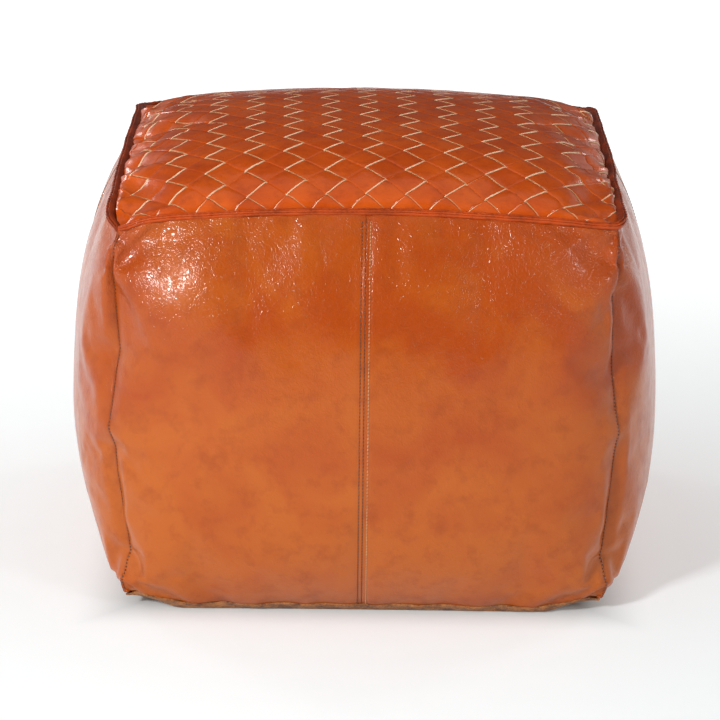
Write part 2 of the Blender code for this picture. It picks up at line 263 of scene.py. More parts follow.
@dataclass(frozen=True)
class BurnishedLeather:
    """Goat leather, drum dyed, then hand burnished with wax to a gloss.

    The dye pools unevenly, so the colour is cloudy. Burnishing leaves a thin,
    smooth coat that mirrors softly, and creases break the mirror into a web
    of fine glints.
    """

    name: str
    light: str
    middle: str
    dark: str
    edge: str
    cloud_mm: float = 70.0
    grain_mm: float = 1.1
    crackle_mm: float = 3.6
    gloss: float = 0.36
    coat: float = 0.60
    coat_roughness: float = 0.13
    crackle_depth: float = 0.50

    def build(self) -> bpy.types.Material:
        """Build the material.

        Returns:
            The material, which reads the attributes hide_tone, seam_shade and creased.
        """
        material, tree, shader, place = new_material(self.name)
        pools = add_node(tree, "ShaderNodeTexNoise", {
            "Vector": place, "Scale": 1000.0 / (self.cloud_mm * 0.22), "Detail": 4.0,
            "Roughness": 0.6}).outputs["Fac"]
        polish = add_node(tree, "ShaderNodeMapRange", {
            "Value": pools, "From Min": 0.3, "From Max": 0.75,
            "To Min": self.gloss - 0.05, "To Max": self.gloss + 0.10})
        relief = self._relief(tree, place, pools)
        feed(tree, shader, {
            "Base Color": self._colour(tree, place, pools), "Roughness": polish.outputs["Result"],
            "IOR": 1.45, "Specular Tint": linear("#ffe0c0"), "Specular IOR Level": 0.22,
            "Coat Weight": self.coat, "Coat Roughness": self.coat_roughness, "Coat IOR": 1.5,
            "Normal": relief, "Coat Normal": relief})
        return material

    def _colour(self, tree: bpy.types.NodeTree, place: bpy.types.NodeSocket,
                pools: bpy.types.NodeSocket) -> bpy.types.NodeSocket:
        """Dye: broad clouds and small dark pools where wax gathered, shifted by each vertex's tone,
        which also carries painted light, and painted shade at the seams, folds and dives.

        Args:
            tree: The material's node tree.
            place: Socket of the Object coordinates.
            pools: Socket of the noise that places the pools.

        Returns:
            The socket of the colour.
        """
        clouds = add_node(tree, "ShaderNodeTexNoise", {
            "Vector": place, "Scale": 1000.0 / self.cloud_mm, "Detail": 3.0,
            "Roughness": 0.55, "Distortion": 0.6})
        # the tone attribute shifts the dye: random tone, and on the side panels and piping also
        # painted light
        tone = add_node(tree, "ShaderNodeAttribute", attribute_name="hide_tone")
        cloudy = add_node(tree, "ShaderNodeMapRange", {
            "Value": clouds.outputs["Fac"], "From Min": 0.28, "From Max": 0.72})
        shifted = add_node(tree, "ShaderNodeMath", {
            0: cloudy.outputs["Result"], 1: tone.outputs["Fac"]}, operation="ADD", use_clamp=True)
        body = add_node(tree, "ShaderNodeMix", {
            MIX_FACTOR: shifted.outputs[0], MIX_A: linear(self.middle), MIX_B: linear(self.light)},
            data_type="RGBA")
        pooled = add_node(tree, "ShaderNodeMapRange", {
            "Value": pools, "From Min": 0.50, "From Max": 0.80, "To Max": 0.55})
        dyed = add_node(tree, "ShaderNodeMix", {
            MIX_FACTOR: pooled.outputs["Result"], MIX_A: body.outputs[MIX_RESULT],
            MIX_B: linear(self.dark)}, data_type="RGBA")
        # painted shade: the darker edge colour where seam_shade marks seams, piping folds and strip
        # dives
        seam = add_node(tree, "ShaderNodeAttribute", attribute_name="seam_shade")
        painted_shade = add_node(tree, "ShaderNodeMath", {
            0: seam.outputs["Fac"], 1: pools}, operation="MULTIPLY", use_clamp=True)
        edged = add_node(tree, "ShaderNodeMix", {
            MIX_FACTOR: painted_shade.outputs[0], MIX_A: dyed.outputs[MIX_RESULT],
            MIX_B: linear(self.edge)}, data_type="RGBA")
        return edged.outputs[MIX_RESULT]

    def _relief(self, tree: bpy.types.NodeTree, place: bpy.types.NodeSocket,
                pools: bpy.types.NodeSocket) -> bpy.types.NodeSocket:
        """Relief: pebbled grain, a web of creases where the leather was crushed, and swells.

        Args:
            tree: The material's node tree.
            place: Socket of the Object coordinates.
            pools: Socket of the noise that raises the swells.

        Returns:
            The socket of the bent normal.
        """
        bent = add_node(tree, "ShaderNodeTexNoise", {
            "Vector": place, "Scale": 1000.0 / (self.crackle_mm * 4.0), "Detail": 2.0})
        bend = add_node(tree, "ShaderNodeVectorMath", {
            0: bent.outputs["Color"], "Scale": self.crackle_mm * 1.6 * MM}, operation="SCALE")
        moved = add_node(tree, "ShaderNodeVectorMath", {0: place, 1: bend.outputs[0]})
        web = add_node(tree, "ShaderNodeTexNoise", {
            "Vector": moved.outputs[0], "Scale": 1000.0 / self.crackle_mm, "Detail": 1.5,
            "Distortion": 0.9})
        level = add_node(tree, "ShaderNodeMath", {0: web.outputs["Fac"], 1: 0.5},
                         operation="SUBTRACT")
        ridge = add_node(tree, "ShaderNodeMath", {0: level.outputs[0]}, operation="ABSOLUTE")
        creases = add_node(tree, "ShaderNodeMapRange", {
            "Value": ridge.outputs[0], "From Max": 0.15}, interpolation_type="SMOOTHSTEP")
        creased = add_node(tree, "ShaderNodeAttribute", attribute_name="creased")
        web_depth = add_node(tree, "ShaderNodeMath", {
            0: creases.outputs["Result"], 1: creased.outputs["Fac"]}, operation="MULTIPLY")
        grain = add_node(tree, "ShaderNodeTexVoronoi", {
            "Vector": place, "Scale": 1000.0 / self.grain_mm})
        fine = add_node(tree, "ShaderNodeBump", {
            "Height": grain.outputs["Distance"], "Strength": 0.10, "Distance": 0.15 * MM})
        crackle = add_node(tree, "ShaderNodeBump", {
            "Height": web_depth.outputs[0], "Strength": self.crackle_depth,
            "Distance": 0.66 * MM, "Normal": fine.outputs["Normal"]})
        soft = add_node(tree, "ShaderNodeBump", {
            "Height": pools, "Strength": 0.5, "Distance": 0.9 * MM,
            "Normal": crackle.outputs["Normal"]})
        return soft.outputs["Normal"]


@dataclass(frozen=True)
class RawLeather:
    """Undyed flesh side or cut edge of leather: matt and fibrous, with short nap."""

    name: str
    light: str
    dark: str
    fibre_mm: float = 0.7
    roughness: float = 0.92
    depth: float = 0.5

    def build(self) -> bpy.types.Material:
        """Build the material and return it."""
        material, tree, shader, place = new_material(self.name)
        fibres = add_node(tree, "ShaderNodeTexNoise", {
            "Vector": place, "Scale": 1000.0 / self.fibre_mm, "Detail": 5.0, "Roughness": 0.7})
        patches = add_node(tree, "ShaderNodeTexNoise", {
            "Vector": place, "Scale": 1000.0 / 9.0, "Detail": 4.0, "Roughness": 0.65})
        both = add_node(tree, "ShaderNodeMath", {
            0: fibres.outputs["Fac"], 1: patches.outputs["Fac"]}, operation="ADD")
        share = add_node(tree, "ShaderNodeMapRange", {
            "Value": both.outputs[0], "From Min": 0.80, "From Max": 1.20})
        colour = add_node(tree, "ShaderNodeMix", {
            MIX_FACTOR: share.outputs["Result"], MIX_A: linear(self.dark),
            MIX_B: linear(self.light)}, data_type="RGBA")
        bump = add_node(tree, "ShaderNodeBump", {
            "Height": both.outputs[0], "Strength": self.depth, "Distance": 0.4 * MM})
        feed(tree, shader, {
            "Base Color": colour.outputs[MIX_RESULT], "Normal": bump.outputs["Normal"],
            "Roughness": self.roughness, "Sheen Weight": 0.08, "Sheen Roughness": 0.6})
        return material


@dataclass(frozen=True)
class WaxedThread:
    """Waxed linen thread: two plies, twisted, dark, with a dull shine."""

    name: str
    light: str
    dark: str
    ply_mm: float = 0.55

    def build(self) -> bpy.types.Material:
        """Build the material and return it."""
        material, tree, shader, place = new_material(self.name)
        plies = add_node(tree, "ShaderNodeTexWave", {
            "Vector": place, "Scale": 1000.0 / (self.ply_mm * 6.0), "Distortion": 1.5},
            bands_direction="DIAGONAL")
        patches = add_node(tree, "ShaderNodeTexNoise", {
            "Vector": place, "Scale": 1000.0 / 6.0, "Detail": 2.0})
        colour = add_node(tree, "ShaderNodeMix", {
            MIX_FACTOR: patches.outputs["Fac"], MIX_A: linear(self.dark),
            MIX_B: linear(self.light)}, data_type="RGBA")
        bump = add_node(tree, "ShaderNodeBump", {
            "Height": plies.outputs["Fac"], "Strength": 0.5, "Distance": 0.2 * MM})
        feed(tree, shader, {
            "Base Color": colour.outputs[MIX_RESULT], "Normal": bump.outputs["Normal"],
            "Roughness": 0.38, "Coat Weight": 0.3})
        return material


@dataclass(frozen=True)
class WovenCloth:
    """Plain woven cloth: threads cross over and under, with slubs and a faint nap."""

    name: str
    light: str
    dark: str
    thread_mm: float = 1.0
    roughness: float = 0.9

    def build(self) -> bpy.types.Material:
        """Build the material and return it."""
        material, tree, shader, place = new_material(self.name)
        scale = 1000.0 / (self.thread_mm * 20.0 / math.pi)
        warp, weft, rise = (
            add_node(tree, "ShaderNodeTexWave", {
                "Vector": place, "Scale": scale, "Distortion": 0.6}, bands_direction=direction)
            for direction in "XYZ")
        cross = add_node(tree, "ShaderNodeMath", {
            0: warp.outputs["Fac"], 1: weft.outputs["Fac"]}, operation="MULTIPLY")
        weave = add_node(tree, "ShaderNodeMath", {
            0: cross.outputs[0], 1: rise.outputs["Fac"]}, operation="MAXIMUM")
        slubs = add_node(tree, "ShaderNodeTexNoise", {
            "Vector": place, "Scale": 1000.0 / 9.0, "Detail": 4.0})
        share = add_node(tree, "ShaderNodeMath", {
            0: weave.outputs[0], 1: slubs.outputs["Fac"]}, operation="MULTIPLY")
        colour = add_node(tree, "ShaderNodeMix", {
            MIX_FACTOR: share.outputs[0], MIX_A: linear(self.dark), MIX_B: linear(self.light)},
            data_type="RGBA")
        bump = add_node(tree, "ShaderNodeBump", {
            "Height": weave.outputs[0], "Strength": 0.4, "Distance": self.thread_mm * 0.3 * MM})
        feed(tree, shader, {
            "Base Color": colour.outputs[MIX_RESULT], "Normal": bump.outputs["Normal"],
            "Roughness": self.roughness, "Sheen Weight": 0.2})
        return material


@dataclass(frozen=True)
class FibreFill:
    """Loose cotton and foam crumb: soft white clumps, darker grey towards the hollows between them as
    painted shade.
    """

    name: str
    light: str
    dark: str
    clump_mm: float = 9.0

    def build(self) -> bpy.types.Material:
        """Build the material and return it."""
        material, tree, shader, place = new_material(self.name)
        clumps = add_node(tree, "ShaderNodeTexVoronoi", {
            "Vector": place, "Scale": 1000.0 / self.clump_mm}, feature="SMOOTH_F1")
        fibres = add_node(tree, "ShaderNodeTexNoise", {
            "Vector": place, "Scale": 1000.0 / 1.5, "Detail": 6.0, "Roughness": 0.75})
        # painted shade: the colour darkens with distance from each clump's middle
        colour = add_node(tree, "ShaderNodeMix", {
            MIX_FACTOR: clumps.outputs["Distance"], MIX_A: linear(self.light),
            MIX_B: linear(self.dark)}, data_type="RGBA")
        height = add_node(tree, "ShaderNodeMath", {
            0: fibres.outputs["Fac"], 1: clumps.outputs["Distance"]}, operation="SUBTRACT")
        bump = add_node(tree, "ShaderNodeBump", {
            "Height": height.outputs[0], "Strength": 0.8, "Distance": 2.0 * MM})
        feed(tree, shader, {
            "Base Color": colour.outputs[MIX_RESULT], "Normal": bump.outputs["Normal"],
            "Roughness": 1.0, "Sheen Weight": 0.4})
        return material


@dataclass(frozen=True)
class MouldedNylon:
    """Extruded nylon, as in a zip's teeth: hard, slightly waxy, faintly streaked."""

    name: str
    colour: str
    streak: str

    def build(self) -> bpy.types.Material:
        """Build the material and return it."""
        material, tree, shader, place = new_material(self.name)
        streaks = add_node(tree, "ShaderNodeTexNoise", {
            "Vector": place, "Scale": 1000.0 / 1.5, "Detail": 3.0})
        colour = add_node(tree, "ShaderNodeMix", {
            MIX_FACTOR: streaks.outputs["Fac"], MIX_A: linear(self.colour),
            MIX_B: linear(self.streak)}, data_type="RGBA")
        feed(tree, shader, {
            "Base Color": colour.outputs[MIX_RESULT], "Roughness": 0.38, "IOR": 1.53})
        return material


@dataclass(frozen=True)
class AgedBrass:
    """Cast brass, tumbled and aged: bright on the rubbed edges, brown in the hollows."""

    name: str
    bright: str
    brown: str

    def build(self) -> bpy.types.Material:
        """Build the material and return it."""
        material, tree, shader, place = new_material(self.name)
        stains = add_node(tree, "ShaderNodeTexNoise", {
            "Vector": place, "Scale": 1000.0 / 3.0, "Detail": 5.0, "Roughness": 0.65})
        scratches = add_node(tree, "ShaderNodeTexNoise", {
            "Vector": place, "Scale": 1000.0 / 0.5, "Detail": 2.0})
        share = add_node(tree, "ShaderNodeMapRange", {
            "Value": stains.outputs["Fac"], "From Min": 0.40, "From Max": 0.65})
        colour = add_node(tree, "ShaderNodeMix", {
            MIX_FACTOR: share.outputs["Result"], MIX_A: linear(self.bright),
            MIX_B: linear(self.brown)}, data_type="RGBA")
        rough = add_node(tree, "ShaderNodeMapRange", {
            "Value": stains.outputs["Fac"], "To Min": 0.22, "To Max": 0.55})
        bump = add_node(tree, "ShaderNodeBump", {
            "Height": scratches.outputs["Fac"], "Strength": 0.2, "Distance": 0.05 * MM})
        feed(tree, shader, {
            "Base Color": colour.outputs[MIX_RESULT], "Roughness": rough.outputs["Result"],
            "Normal": bump.outputs["Normal"], "Metallic": 1.0})
        return material


@dataclass
class Finishes:
    """Every material of the pouf, built once."""

    panel: bpy.types.Material = field(init=False)
    strip: bpy.types.Material = field(init=False)
    piping: bpy.types.Material = field(init=False)
    cut_edge: bpy.types.Material = field(init=False)
    shaded_cut_edge: bpy.types.Material = field(init=False)
    suede: bpy.types.Material = field(init=False)
    thread: bpy.types.Material = field(init=False)
    lit_thread: bpy.types.Material = field(init=False)
    cotton: bpy.types.Material = field(init=False)
    wadding: bpy.types.Material = field(init=False)
    crumb: bpy.types.Material = field(init=False)
    tape: bpy.types.Material = field(init=False)
    nylon: bpy.types.Material = field(init=False)
    brass: bpy.types.Material = field(init=False)

    def __post_init__(self) -> None:
        """Build the materials."""
        # Cloudy orange tan that mirrors a lamp in a crackled patch, with painted shade at the seams
        # and foot and a paler lower half painted as the floor's reflection.
        self.panel = BurnishedLeather(
            "burnished goat leather", "#b05613", "#a03f09", "#8a3406", "#702808",
            coat=0.54).build()
        # Redder and smoother than the sides, with a tone of its own on every strip, and painted shade
        # where the strips dive and along their edges.
        self.strip = BurnishedLeather(
            "burnished goat leather strips", "#c65210", "#b04108", "#8c3006", "#742808",
            cloud_mm=45.0, gloss=0.32, coat=0.40, crackle_depth=0.12).build()
        # Painted shade in the valleys between its ridges, painted light making it lighter on the
        # front and darker on the sides, and hardly coated, so its ridges stay dull.
        self.piping = BurnishedLeather(
            "dark folded binding leather", "#b8481a", "#7c2c10", "#571f0c", "#4a180a",
            cloud_mm=30.0, gloss=0.42, coat=0.12, crackle_depth=0.2).build()
        # Pale line along each rising strip, as lit; the falling strips' same cut edge is a darker tan
        # copy, painted shade; brown nap below.
        self.cut_edge = RawLeather("undyed cut edge", "#ead0ae", "#d0a880").build()
        self.shaded_cut_edge = RawLeather("cut edge painted in shade", "#c49468", "#96643c").build()
        self.suede = RawLeather(
            "brown suede flesh side", "#b4743c", "#5e3216", fibre_mm=1.5, depth=1.0).build()
        # Dark thread sinks into the leather; the row right of each centre seam uses a lighter golden
        # copy of the thread as a painted highlight.
        self.thread = WaxedThread("waxed brown thread", "#6e3a1c", "#3a190b").build()
        self.lit_thread = WaxedThread("linen thread painted lit", "#d8a878", "#8a5028").build()
        # Matt off-white cloth and filling, which show only where the cover opens.
        self.cotton = WovenCloth("unbleached cotton cloth", "#d9cfb8", "#b3a688").build()
        self.wadding = FibreFill("cotton wadding", "#e6e2d8", "#c9c3b4").build()
        self.crumb = FibreFill("foam crumb and cotton", "#e0dccf", "#aaa592", 14.0).build()
        # Dark brown zip, with small metal parts that shine where they are rubbed.
        self.tape = WovenCloth("zip tape twill", "#5c3826", "#3a2116", thread_mm=0.5).build()
        self.nylon = MouldedNylon("brown zip nylon", "#4a2c1c", "#5a3826").build()
        self.brass = AgedBrass("aged cast brass", "#c9a25c", "#6e4f26").build()


def dress(piece: bpy.types.Object, materials: Sequence[bpy.types.Material],
          body: str = COVER, nodes: Sequence[str] = ()) -> bpy.types.Object:
    """Give a finished piece its materials, its body and the solids that it stands for.

    Args:
        piece: The piece, at the origin, with its place in its mesh.
        materials: Its materials, in the order of its material slots.
        body: The frame's body that it rides on.
        nodes: The frame's nodes that it replaces.

    Returns:
        The piece.
    """
    used = [face.material_index for face in piece.data.polygons]
    piece.data.materials.clear()
    for material in materials:
        piece.data.materials.append(material)
    piece.data.polygons.foreach_set("material_index", used)
    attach(piece, body)
    if nodes:
        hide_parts(*nodes)
    LOG.info("%s: %d faces on %s", piece.name, len(piece.data.polygons), body)
    return piece


def paint(piece: bpy.types.Object, name: str, values: np.ndarray) -> None:
    """Store one number for each vertex as a named attribute."""
    attribute = piece.data.attributes.new(name, "FLOAT", "POINT")
    attribute.data.foreach_set("value", np.ascontiguousarray(values, dtype=float).ravel())


# --- the stuffed form ---------------------------------------------------------


def through(values: Sequence[float], position: np.ndarray) -> np.ndarray:
    """Smooth curve through evenly spaced values.

    Args:
        values: What the curve passes through, from position -1 to position 1.
        position: Where to read it.

    Returns:
        The curve's value at each position.
    """
    last = len(values) - 1
    knots = [2.0 * number / last - 1.0 for number in range(last + 1)]
    total = np.zeros_like(position)
    for number, value in enumerate(values):
        weight = np.ones_like(position)
        for other, knot in enumerate(knots):
            if other != number:
                weight = weight * (position - knot) / (knots[number] - knot)
        total = total + value * weight
    return total


class Surface:
    """Smooth surface through a net of points, read at u to the right and v upwards, 0 to 1."""

    def __init__(self, net: np.ndarray) -> None:
        """Keep a net of rows of columns of x, y, z."""
        self.net = net
        wide = np.concatenate([2 * net[:, :1] - net[:, 1:2], net, 2 * net[:, -1:] - net[:, -2:-1]], 1)
        self.wide = np.concatenate([2 * wide[:1] - wide[1:2], wide, 2 * wide[-1:] - wide[-2:-1]], 0)

    @staticmethod
    def _weights(share: np.ndarray) -> list[np.ndarray]:
        """Catmull-Rom weights of four neighbours, at a share of the way past the second."""
        square, cube = share * share, share * share * share
        return [
            -0.5 * share + square - 0.5 * cube,
            1.0 - 2.5 * square + 1.5 * cube,
            0.5 * share + 2.0 * square - 1.5 * cube,
            -0.5 * square + 0.5 * cube,
        ]

    def at(self, u: np.ndarray, v: np.ndarray) -> np.ndarray:
        """Points at u and v, which may be arrays of any one shape."""
        rows, columns = self.net.shape[:2]
        across, upward = np.broadcast_arrays(
            np.clip(u, 0.0, 1.0) * (columns - 1.0), np.clip(v, 0.0, 1.0) * (rows - 1.0))
        column = np.minimum(across.astype(int), columns - 2)
        row = np.minimum(upward.astype(int), rows - 2)
        by_column = self._weights(across - column)
        by_row = self._weights(upward - row)
        total = np.zeros(across.shape + (3,))
        for down in range(4):
            for over in range(4):
                weight = (by_row[down] * by_column[over])[..., None]
                total = total + weight * self.wide[row + down, column + over]
        return total

    def normal(self, u: np.ndarray, v: np.ndarray, step: float = 0.006) -> np.ndarray:
        """Outward directions at u and v."""
        across = self.at(np.minimum(u + step, 1.0), v) - self.at(np.maximum(u - step, 0.0), v)
        upward = self.at(u, np.minimum(v + step, 1.0)) - self.at(u, np.maximum(v - step, 0.0))
        return unit(np.cross(across, upward))

    def evened(self, columns: int, rows: int) -> "Surface":
        """Surface of the same shape whose u and v run evenly along its lines."""
        fine_u, fine_v = np.meshgrid(np.linspace(0, 1, columns * 3), np.linspace(0, 1, rows * 3))
        across = self._spread(self.at(fine_u, fine_v), columns)
        upward = self._spread(across.transpose(1, 0, 2), rows)
        return Surface(upward.transpose(1, 0, 2))

    @staticmethod
    def _spread(net: np.ndarray, count: int) -> np.ndarray:
        """Lines of a net with their points spread evenly by length."""
        lines = []
        for line in net:
            run = np.concatenate([[0.0], np.cumsum(np.linalg.norm(np.diff(line, axis=0), axis=1))])
            wanted = np.linspace(0.0, run[-1], count)
            lines.append(np.stack([np.interp(wanted, run, line[:, axis]) for axis in range(3)], -1))
        return np.array(lines)

    def width(self, v: np.ndarray) -> np.ndarray:
        """Length of the line from left to right at each v."""
        runs = np.linalg.norm(np.diff(self.net, axis=1), axis=2).sum(1)
        return np.interp(v, np.linspace(0, 1, len(runs)), runs)

    def height(self, u: np.ndarray) -> np.ndarray:
        """Length of the line from bottom to top at each u."""
        runs = np.linalg.norm(np.diff(self.net, axis=0), axis=2).sum(0)
        return np.interp(u, np.linspace(0, 1, len(runs)), runs)


class Face(Enum):
    """A face of the form: the axis it looks along, then its rightward and upward axes.

    Each axis is a number, 0 to 2, and a sign.
    """

    FRONT = ((1, -1), (0, 1), (2, 1))
    RIGHT = ((0, 1), (1, 1), (2, 1))
    BACK = ((1, 1), (0, -1), (2, 1))
    LEFT = ((0, -1), (1, -1), (2, 1))
    TOP = ((2, 1), (0, 1), (1, 1))
    BOTTOM = ((2, -1), (0, 1), (1, -1))


@dataclass
class StuffedForm:
    """The stuffed cover's outer form, taken from the frame's solids and then inflated."""

    cuts: int = 44
    swell: tuple[float, ...] = (-0.0075, 0.0498, 0.0533, 0.0408, -0.0040)
    middle_half: float = 0.2247
    corner_drop: float = 0.013
    corner_lift: float = 0.011
    lift_start: float = 0.72
    foot_inset: float = 0.004
    swell_power: float = 0.42
    crown: float = 0.0445
    front_shape: tuple[float, float] = (2.6, 0.50)
    back_shape: tuple[float, float] = (2.0, 0.90)
    side_power: float = 0.45
    tuck: float = 0.006
    tuck_height: float = 0.065
    tuck_run: float = 0.055
    tuck_from: float = 0.1
    curl: float = 0.014
    curl_reach: float = 0.060
    curl_height: float = 0.032
    pinch: float = 0.008
    pinch_reach: float = 0.020
    pinch_way: tuple[float, float, float] = (0.35, 0.35, -0.85)
    corner_round: float = 0.022
    round_run: float = 0.070
    piping_radius: float = 0.0030
    spread: tuple[float, float] = (0.45, 0.55)
    slack_fullness: float = 0.8
    slack: float = 0.03
    pressure: float = 3.0
    bending: float = 2.0
    frames: int = 25
    most_move: float = 0.014
    calm: float = 0.30
    calm_reach: float = 0.060
    broad_rounds: int = 70
    loose_hold: float = 0.25
    top_half: float = field(init=False)
    foot_half: float = field(init=False)
    edge_height: float = field(init=False)
    points: np.ndarray = field(init=False)
    surfaces: dict[Face, Surface] = field(init=False, default_factory=dict)

    def __post_init__(self) -> None:
        """Measure the frame, inflate the form and read its six faces."""
        piping_low, piping_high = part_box("top_piping")
        self.top_half = (piping_high[0] - piping_low[0]) / 2.0 - self.piping_radius
        self.foot_half = self.top_half - self.foot_inset
        self.edge_height = piping_high[2] - self.piping_radius
        cube, points = self._inflated()
        self.points = self._curled_under(self._tucked(self._pinched(self._rounded(points))))
        for face in Face:
            self.surfaces[face] = Surface(self._net(face, cube, self.points))

    def skin(self, spot: np.ndarray, fullness: float = 1.0) -> np.ndarray:
        """Form's skin before it is inflated.

        Args:
            spot: Places on a cube from -1 to 1.
            fullness: Share of the full swell and crown.

        Returns:
            The form's points.
        """
        s, t, r = spot.T
        half = through((self.foot_half, self.middle_half, self.top_half), r)
        swell = through([value * fullness for value in self.swell], r)
        across = np.maximum(0.0, 1.0 - s * s)
        along = np.maximum(0.0, 1.0 - t * t)
        far, bend = np.where(t[:, None] < 0.0, self.front_shape, self.back_shape).T
        domed = np.maximum(0.0, 1.0 - np.abs(t) ** far) ** bend * across ** self.side_power
        x = s * (half + swell * along ** self.swell_power)
        y = t * (half + swell * across ** self.swell_power)
        top = self.edge_height - self.corner_drop * s * s * t * t + self.crown * fullness * domed
        lifted = smooth_step((np.abs(s * t) - self.lift_start) / (1.0 - self.lift_start))
        foot = self.corner_lift * lifted
        return np.stack([x, y, foot + (top - foot) * (r + 1.0) / 2.0], axis=-1)

    def _inflated(self) -> tuple[np.ndarray, np.ndarray]:
        """Inflate the form against its seams.

        Returns:
            Each vertex's place on the cube, and on the inflated form.
        """
        start_clean()
        bpy.ops.mesh.primitive_cube_add(size=2.0)
        block = bpy.context.object
        edit_all(block, lambda: bpy.ops.mesh.subdivide(number_cuts=self.cuts - 1))
        cube = read_points(block)
        even, eased = self.spread
        spot = even * cube + eased * np.sin(cube * math.pi / 2.0)
        full = self.skin(spot)
        write_points(block, self.skin(spot, self.slack_fullness))
        self._hold(block, cube)
        self._blow_up(block)
        moved = read_points(block) - full
        length = np.maximum(np.linalg.norm(moved, axis=1, keepdims=True), 1e-9)
        moved = moved * np.minimum(1.0, self.most_move / length)
        broad = self._softened(block, moved, self.broad_rounds)
        bpy.data.objects.remove(block, do_unlink=True)
        corner = self.top_half - np.abs(full[:, :2]).min(1).clip(0.0, self.top_half)
        beside = np.where(cube[:, 2] > 0.999, self.top_half - np.abs(full[:, 0]), corner)
        kept = self.calm + (1.0 - self.calm) * np.exp(
            -np.maximum(beside, 0.0) / self.calm_reach)
        return cube, full + (moved - broad) * kept[:, None]

    def _rounded(self, points: np.ndarray) -> np.ndarray:
        """Round the plan of the top's corners, less and less further down."""
        start = self.top_half - self.corner_round
        past = np.maximum(np.abs(points[:, :2]) - start, 0.0)
        longest = past.max(1)
        scale = np.where(past.min(1) > 0.0, longest / np.maximum(np.hypot(*past.T), 1e-9), 1.0)
        share = smooth_step(1.0 - (self.edge_height - points[:, 2]) / self.round_run)
        scale = 1.0 + (scale - 1.0) * share
        rounded = points.copy()
        moved = np.sign(points[:, :2]) * (start + past * scale[:, None])
        rounded[:, :2] = np.where(past > 0.0, moved, points[:, :2])
        return rounded

    def _pinched(self, points: np.ndarray) -> np.ndarray:
        """Pull in the front left corner of the top, where the piping's two ends meet."""
        inward = 0.3 * self.corner_round
        corner = np.array([inward - self.top_half, inward - self.top_half,
                           self.edge_height - self.corner_drop])
        away = points - corner
        share = np.exp(-(away ** 2).sum(1) / self.pinch_reach ** 2)
        return points + share[:, None] * self.pinch * np.array(self.pinch_way)

    def _tucked(self, points: np.ndarray) -> np.ndarray:
        """Draw in the left side just above the foot, where the filling is thin."""
        low_left = np.exp(-((points[:, 2] - self.tuck_height) / self.tuck_run) ** 2) * (
            points[:, 0] < -self.tuck_from)
        tucked = points.copy()
        tucked[:, 0] += self.tuck * low_left * np.abs(points[:, 0]) / self.top_half
        return tucked

    def _curled_under(self, points: np.ndarray) -> np.ndarray:
        """Draw in the foot's corners, so that each upright seam curls under the pouf."""
        past = np.abs(points[:, :2]).min(1) - (self.foot_half - self.curl_reach)
        share = smooth_step(past / self.curl_reach) * np.maximum(
            1.0 - points[:, 2] / self.curl_height, 0.0) ** 2
        curled = points.copy()
        curled[:, :2] -= np.sign(points[:, :2]) * (share * self.curl)[:, None]
        return curled

    def _hold(self, block: bpy.types.Object, cube: np.ndarray) -> None:
        """Pin the piping line, the foot and, loosely, the corner seams."""
        on_face = np.abs(cube) > 0.999
        on_edge = on_face.sum(1) >= 2
        firm = (on_edge & on_face[:, 2]) | (cube[:, 2] < -0.999)
        loose = on_edge & ~firm
        group = block.vertex_groups.new(name="held")
        group.add(np.flatnonzero(firm).tolist(), 1.0, "REPLACE")
        group.add(np.flatnonzero(loose).tolist(), self.loose_hold, "REPLACE")

    def _blow_up(self, block: bpy.types.Object) -> None:
        """Run the cloth simulation and apply its last frame."""
        modifier = block.modifiers.new("Cloth", "CLOTH")
        settings = modifier.settings
        chosen = {
            "quality": 6, "mass": 0.4, "tension_stiffness": 60.0, "compression_stiffness": 60.0,
            "shear_stiffness": 30.0, "bending_stiffness": self.bending, "tension_damping": 15.0,
            "compression_damping": 15.0, "shear_damping": 10.0, "air_damping": 5.0,
            "use_pressure": True, "uniform_pressure_force": self.pressure,
            "vertex_group_mass": "held", "pin_stiffness": 1.0, "shrink_min": -self.slack,
        }
        for name, value in chosen.items():
            setattr(settings, name, value)
        settings.effector_weights.gravity = 0.0
        modifier.collision_settings.use_collision = False
        scene = bpy.context.scene
        for frame_number in range(1, self.frames + 1):
            scene.frame_set(frame_number)
        pick(block)
        bpy.ops.object.modifier_apply(modifier=modifier.name)
        scene.frame_set(1)

    @staticmethod
    def _softened(block: bpy.types.Object, values: np.ndarray, rounds: int) -> np.ndarray:
        """Values of a block's vertices, averaged with their neighbours' many times."""
        edges = np.array([edge.vertices[:] for edge in block.data.edges])
        count = np.bincount(edges.ravel(), minlength=len(values))[:, None]
        soft = values.copy()
        for _ in range(rounds):
            total = np.zeros_like(soft)
            for axis in range(3):
                total[:, axis] = (
                    np.bincount(edges[:, 0], soft[edges[:, 1], axis], len(soft))
                    + np.bincount(edges[:, 1], soft[edges[:, 0], axis], len(soft)))
            soft = 0.5 * soft + 0.5 * total / count
        return soft

    def _net(self, face: Face, cube: np.ndarray, points: np.ndarray) -> np.ndarray:
        """Net of one face's points, with columns to the right and rows upwards."""
        (look, look_sign), (right, right_sign), (up, up_sign) = face.value
        here = np.flatnonzero(np.abs(cube[:, look] - look_sign) < 1e-4)
        column = np.rint((right_sign * cube[here, right] + 1.0) / 2.0 * self.cuts).astype(int)
        row = np.rint((up_sign * cube[here, up] + 1.0) / 2.0 * self.cuts).astype(int)
        net = np.zeros((self.cuts + 1, self.cuts + 1, 3))
        net[row, column] = points[here]
        return net

    def half(self, face: Face, right: bool) -> Surface:
        """Left or right half of an upright face, with u and v running evenly."""
        middle = self.cuts // 2
        net = self.surfaces[face].net
        part = net[:, middle:] if right else net[:, :middle + 1]
        return Surface(part).evened(60, 120)


# --- side panels --------------------------------------------------------------


@dataclass(frozen=True)
class Bulge:
    """Round bulge, or dent where its rise is negative, in a side panel's leather."""

    from_corner: float
    below_piping: float
    radius: float
    rise: float


